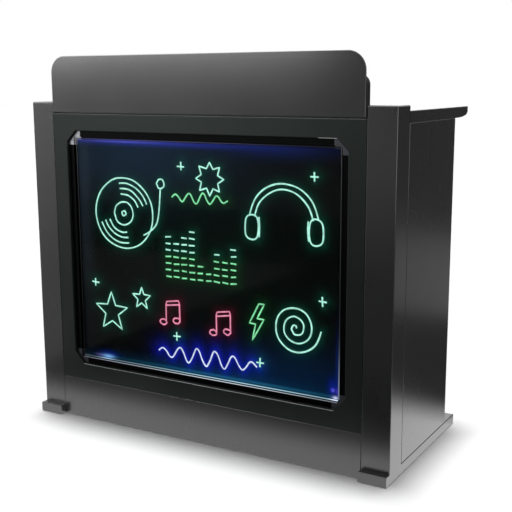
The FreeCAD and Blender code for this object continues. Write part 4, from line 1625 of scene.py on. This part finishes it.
    def lamps(self) -> None:
        """Light matt surfaces softly from above, and the sheen from a softbox high at the front left."""
        key = self.lamp("key_light", "SUN", self.sun_power, Vector(self.sun_from))
        key.data.angle = math.radians(self.sun_angle)
        key.visible_glossy = False
        place = Vector(self.softbox_place)
        softbox = self.lamp("softbox", "AREA", self.softbox_power, place - Vector(self.softbox_aim))
        softbox.data.size = self.softbox_size
        softbox.location = place
        softbox.visible_camera = False
        softbox.visible_diffuse = False

    def lamp(self, name: str, kind: str, power: float, shines_from: Vector) -> Piece:
        """Hang a lamp.

        Args:
            name: Name of the lamp.
            kind: Blender's type of the lamp.
            power: Its power.
            shines_from: Direction from what it lights towards it.

        Returns:
            The lamp.
        """
        data = bpy.data.lights.new(name, kind)
        data.energy = power
        lamp = bpy.data.objects.new(name, data)
        lamp.rotation_euler = shines_from.to_track_quat("Z", "Y").to_euler()
        bpy.context.scene.collection.objects.link(lamp)
        return lamp

    def fade_cards(self) -> list[Card]:
        """Lay the white card under the booth, and cards that fade to dark ahead of it and behind it.

        Returns:
            The cards.
        """
        wide, lift = 4 * self.card_reach, self.card_lift
        middle = (0.0, (self.near_y + self.far_y) / 2, lift)
        size = (2 * self.side_x, self.far_y - self.near_y)
        cards = [Card("white_floor_card", middle, size, Turn.FLAT, 1.0)]
        for step, light in enumerate(self.fade):
            for side, y, deep in (
                ("front", self.near_y - (step + 0.5) * self.fade_front, self.fade_front),
                ("back", self.far_y + (step + 0.5) * self.fade_back, self.fade_back),
            ):
                name = f"{side}_fade_card_{step}"
                cards.append(Card(name, (0.0, y, lift), (wide, deep), Turn.FLAT, light))
        return cards

    def band_cards(self) -> list[Card]:
        """Stand up the front wall, in bands.

        Returns:
            The cards.
        """
        cards = []
        low_z = 0.0
        for name, high_z, light in self.bands:
            place = (0.0, -self.wall_distance, (low_z + high_z) / 2)
            size = (4 * self.card_reach, high_z - low_z)
            cards.append(Card(f"front_{name}_card", place, size, Turn.FACING, light))
            low_z = high_z
        return cards

    def plain_cards(self) -> list[Card]:
        """Lay the rest of the floor, and set the other walls and the bright cards round and over the booth.

        Returns:
            The cards.
        """
        flat, facing, sideways = Turn.FLAT, Turn.FACING, Turn.SIDEWAYS
        reach, lift, wall, height = self.card_reach, self.card_lift, self.wall_distance, self.wall_height
        half, wide, deep = 2 * reach, 4 * reach, self.far_y - self.near_y
        dark, dark_y = self.dark_depth, self.near_y - len(self.fade) * self.fade_front
        back_y = self.far_y + len(self.fade) * self.fade_back
        grey_y = cad_box[1].y + self.grey_distance
        right_x, left_x = self.corner_x + reach, self.corner_x - reach
        return [
            Card("front_floor_card", (right_x, dark_y - reach / 2, lift), (half, reach), flat, 0.06),
            Card("dark_floor_card", (right_x, dark_y - dark / 2, self.dark_lift), (half, dark), flat, 0.015),
            Card("corner_floor_card", (left_x, dark_y - reach / 2, lift), (half, reach), flat, 0.3),
            Card("back_floor_card", (0.0, (back_y + grey_y) / 2, lift), (wide, grey_y - back_y), flat, 0.04),
            Card("far_floor_card", (0.0, grey_y + reach / 2, lift), (wide, reach), flat, 0.2),
            Card("left_floor_card", (-self.side_x - reach, 0.0, lift), (half, deep), flat, 0.05),
            Card("right_floor_card", (self.side_x + reach, 0.0, lift), (half, deep), flat, 0.04),
            Card("back_wall_card", (0.0, self.back_distance, height / 2), (wide, height), facing, 0.055),
            Card("left_wall_card", (-wall, 0.0, height / 2), (wide, height), sideways, 0.5),
            Card("right_wall_card", (wall, 0.0, height / 2), (wide, height), sideways, 0.055),
            Card("edge_card", (2.3, -1.2, 1.3), (2.2, 1.7), Turn.SLANTED, 1.6),
            Card("header_left_card", (-3.15, 0.03 - wall, 1.36), (1.3, 0.44), facing, 12.5),
            Card("header_card", (-2.08, 0.02 - wall, 1.395), (2.64, 0.37), facing, 4.3),
            Card("back_fill_card", (-1.7, 3.0, 1.6), (3.4, 1.4), facing, 1.4),
            Card("ceiling_card", (0.0, 2.0, 2.6), (half, 3.4), flat, 0.5),
            Card("overhead_card", (0.0, -1.0, 2.6), (6.0, 2.6), flat, 1.8),
            Card("post_card", (1.5, 3.0, 2.0), (2.4, 1.0), facing, 0.7),
        ]

    def hang(self, card: Card) -> None:
        """Put up one card, which only reflections see.

        Args:
            card: The card.
        """
        deselect()
        turn = [math.radians(angle) for angle in card.turn.value]
        bpy.ops.mesh.primitive_plane_add(size=1.0, location=card.place, rotation=turn)
        piece = bpy.context.object
        piece.name = card.name
        piece.scale = (*card.size, 1.0)
        material = bpy.data.materials.new(card.name)
        material.use_nodes = True
        tree = material.node_tree
        tree.nodes.clear()
        glow = add_node(tree, "ShaderNodeEmission", {"Strength": card.light})
        add_node(tree, "ShaderNodeOutputMaterial", {"Surface": glow.outputs["Emission"]})
        piece.data.materials.append(material)
        piece.visible_camera = False
        piece.visible_diffuse = False
        piece.visible_shadow = False


def main() -> None:
    """Dress the booth and set up the studio."""
    logging.basicConfig(level=logging.INFO, format="%(name)s: %(message)s")
    Carcass().build()
    Header().build()
    Controller().build()
    WritingBoard(Drawing()).build()
    Studio().build()


if __name__ == "__main__":
    main()
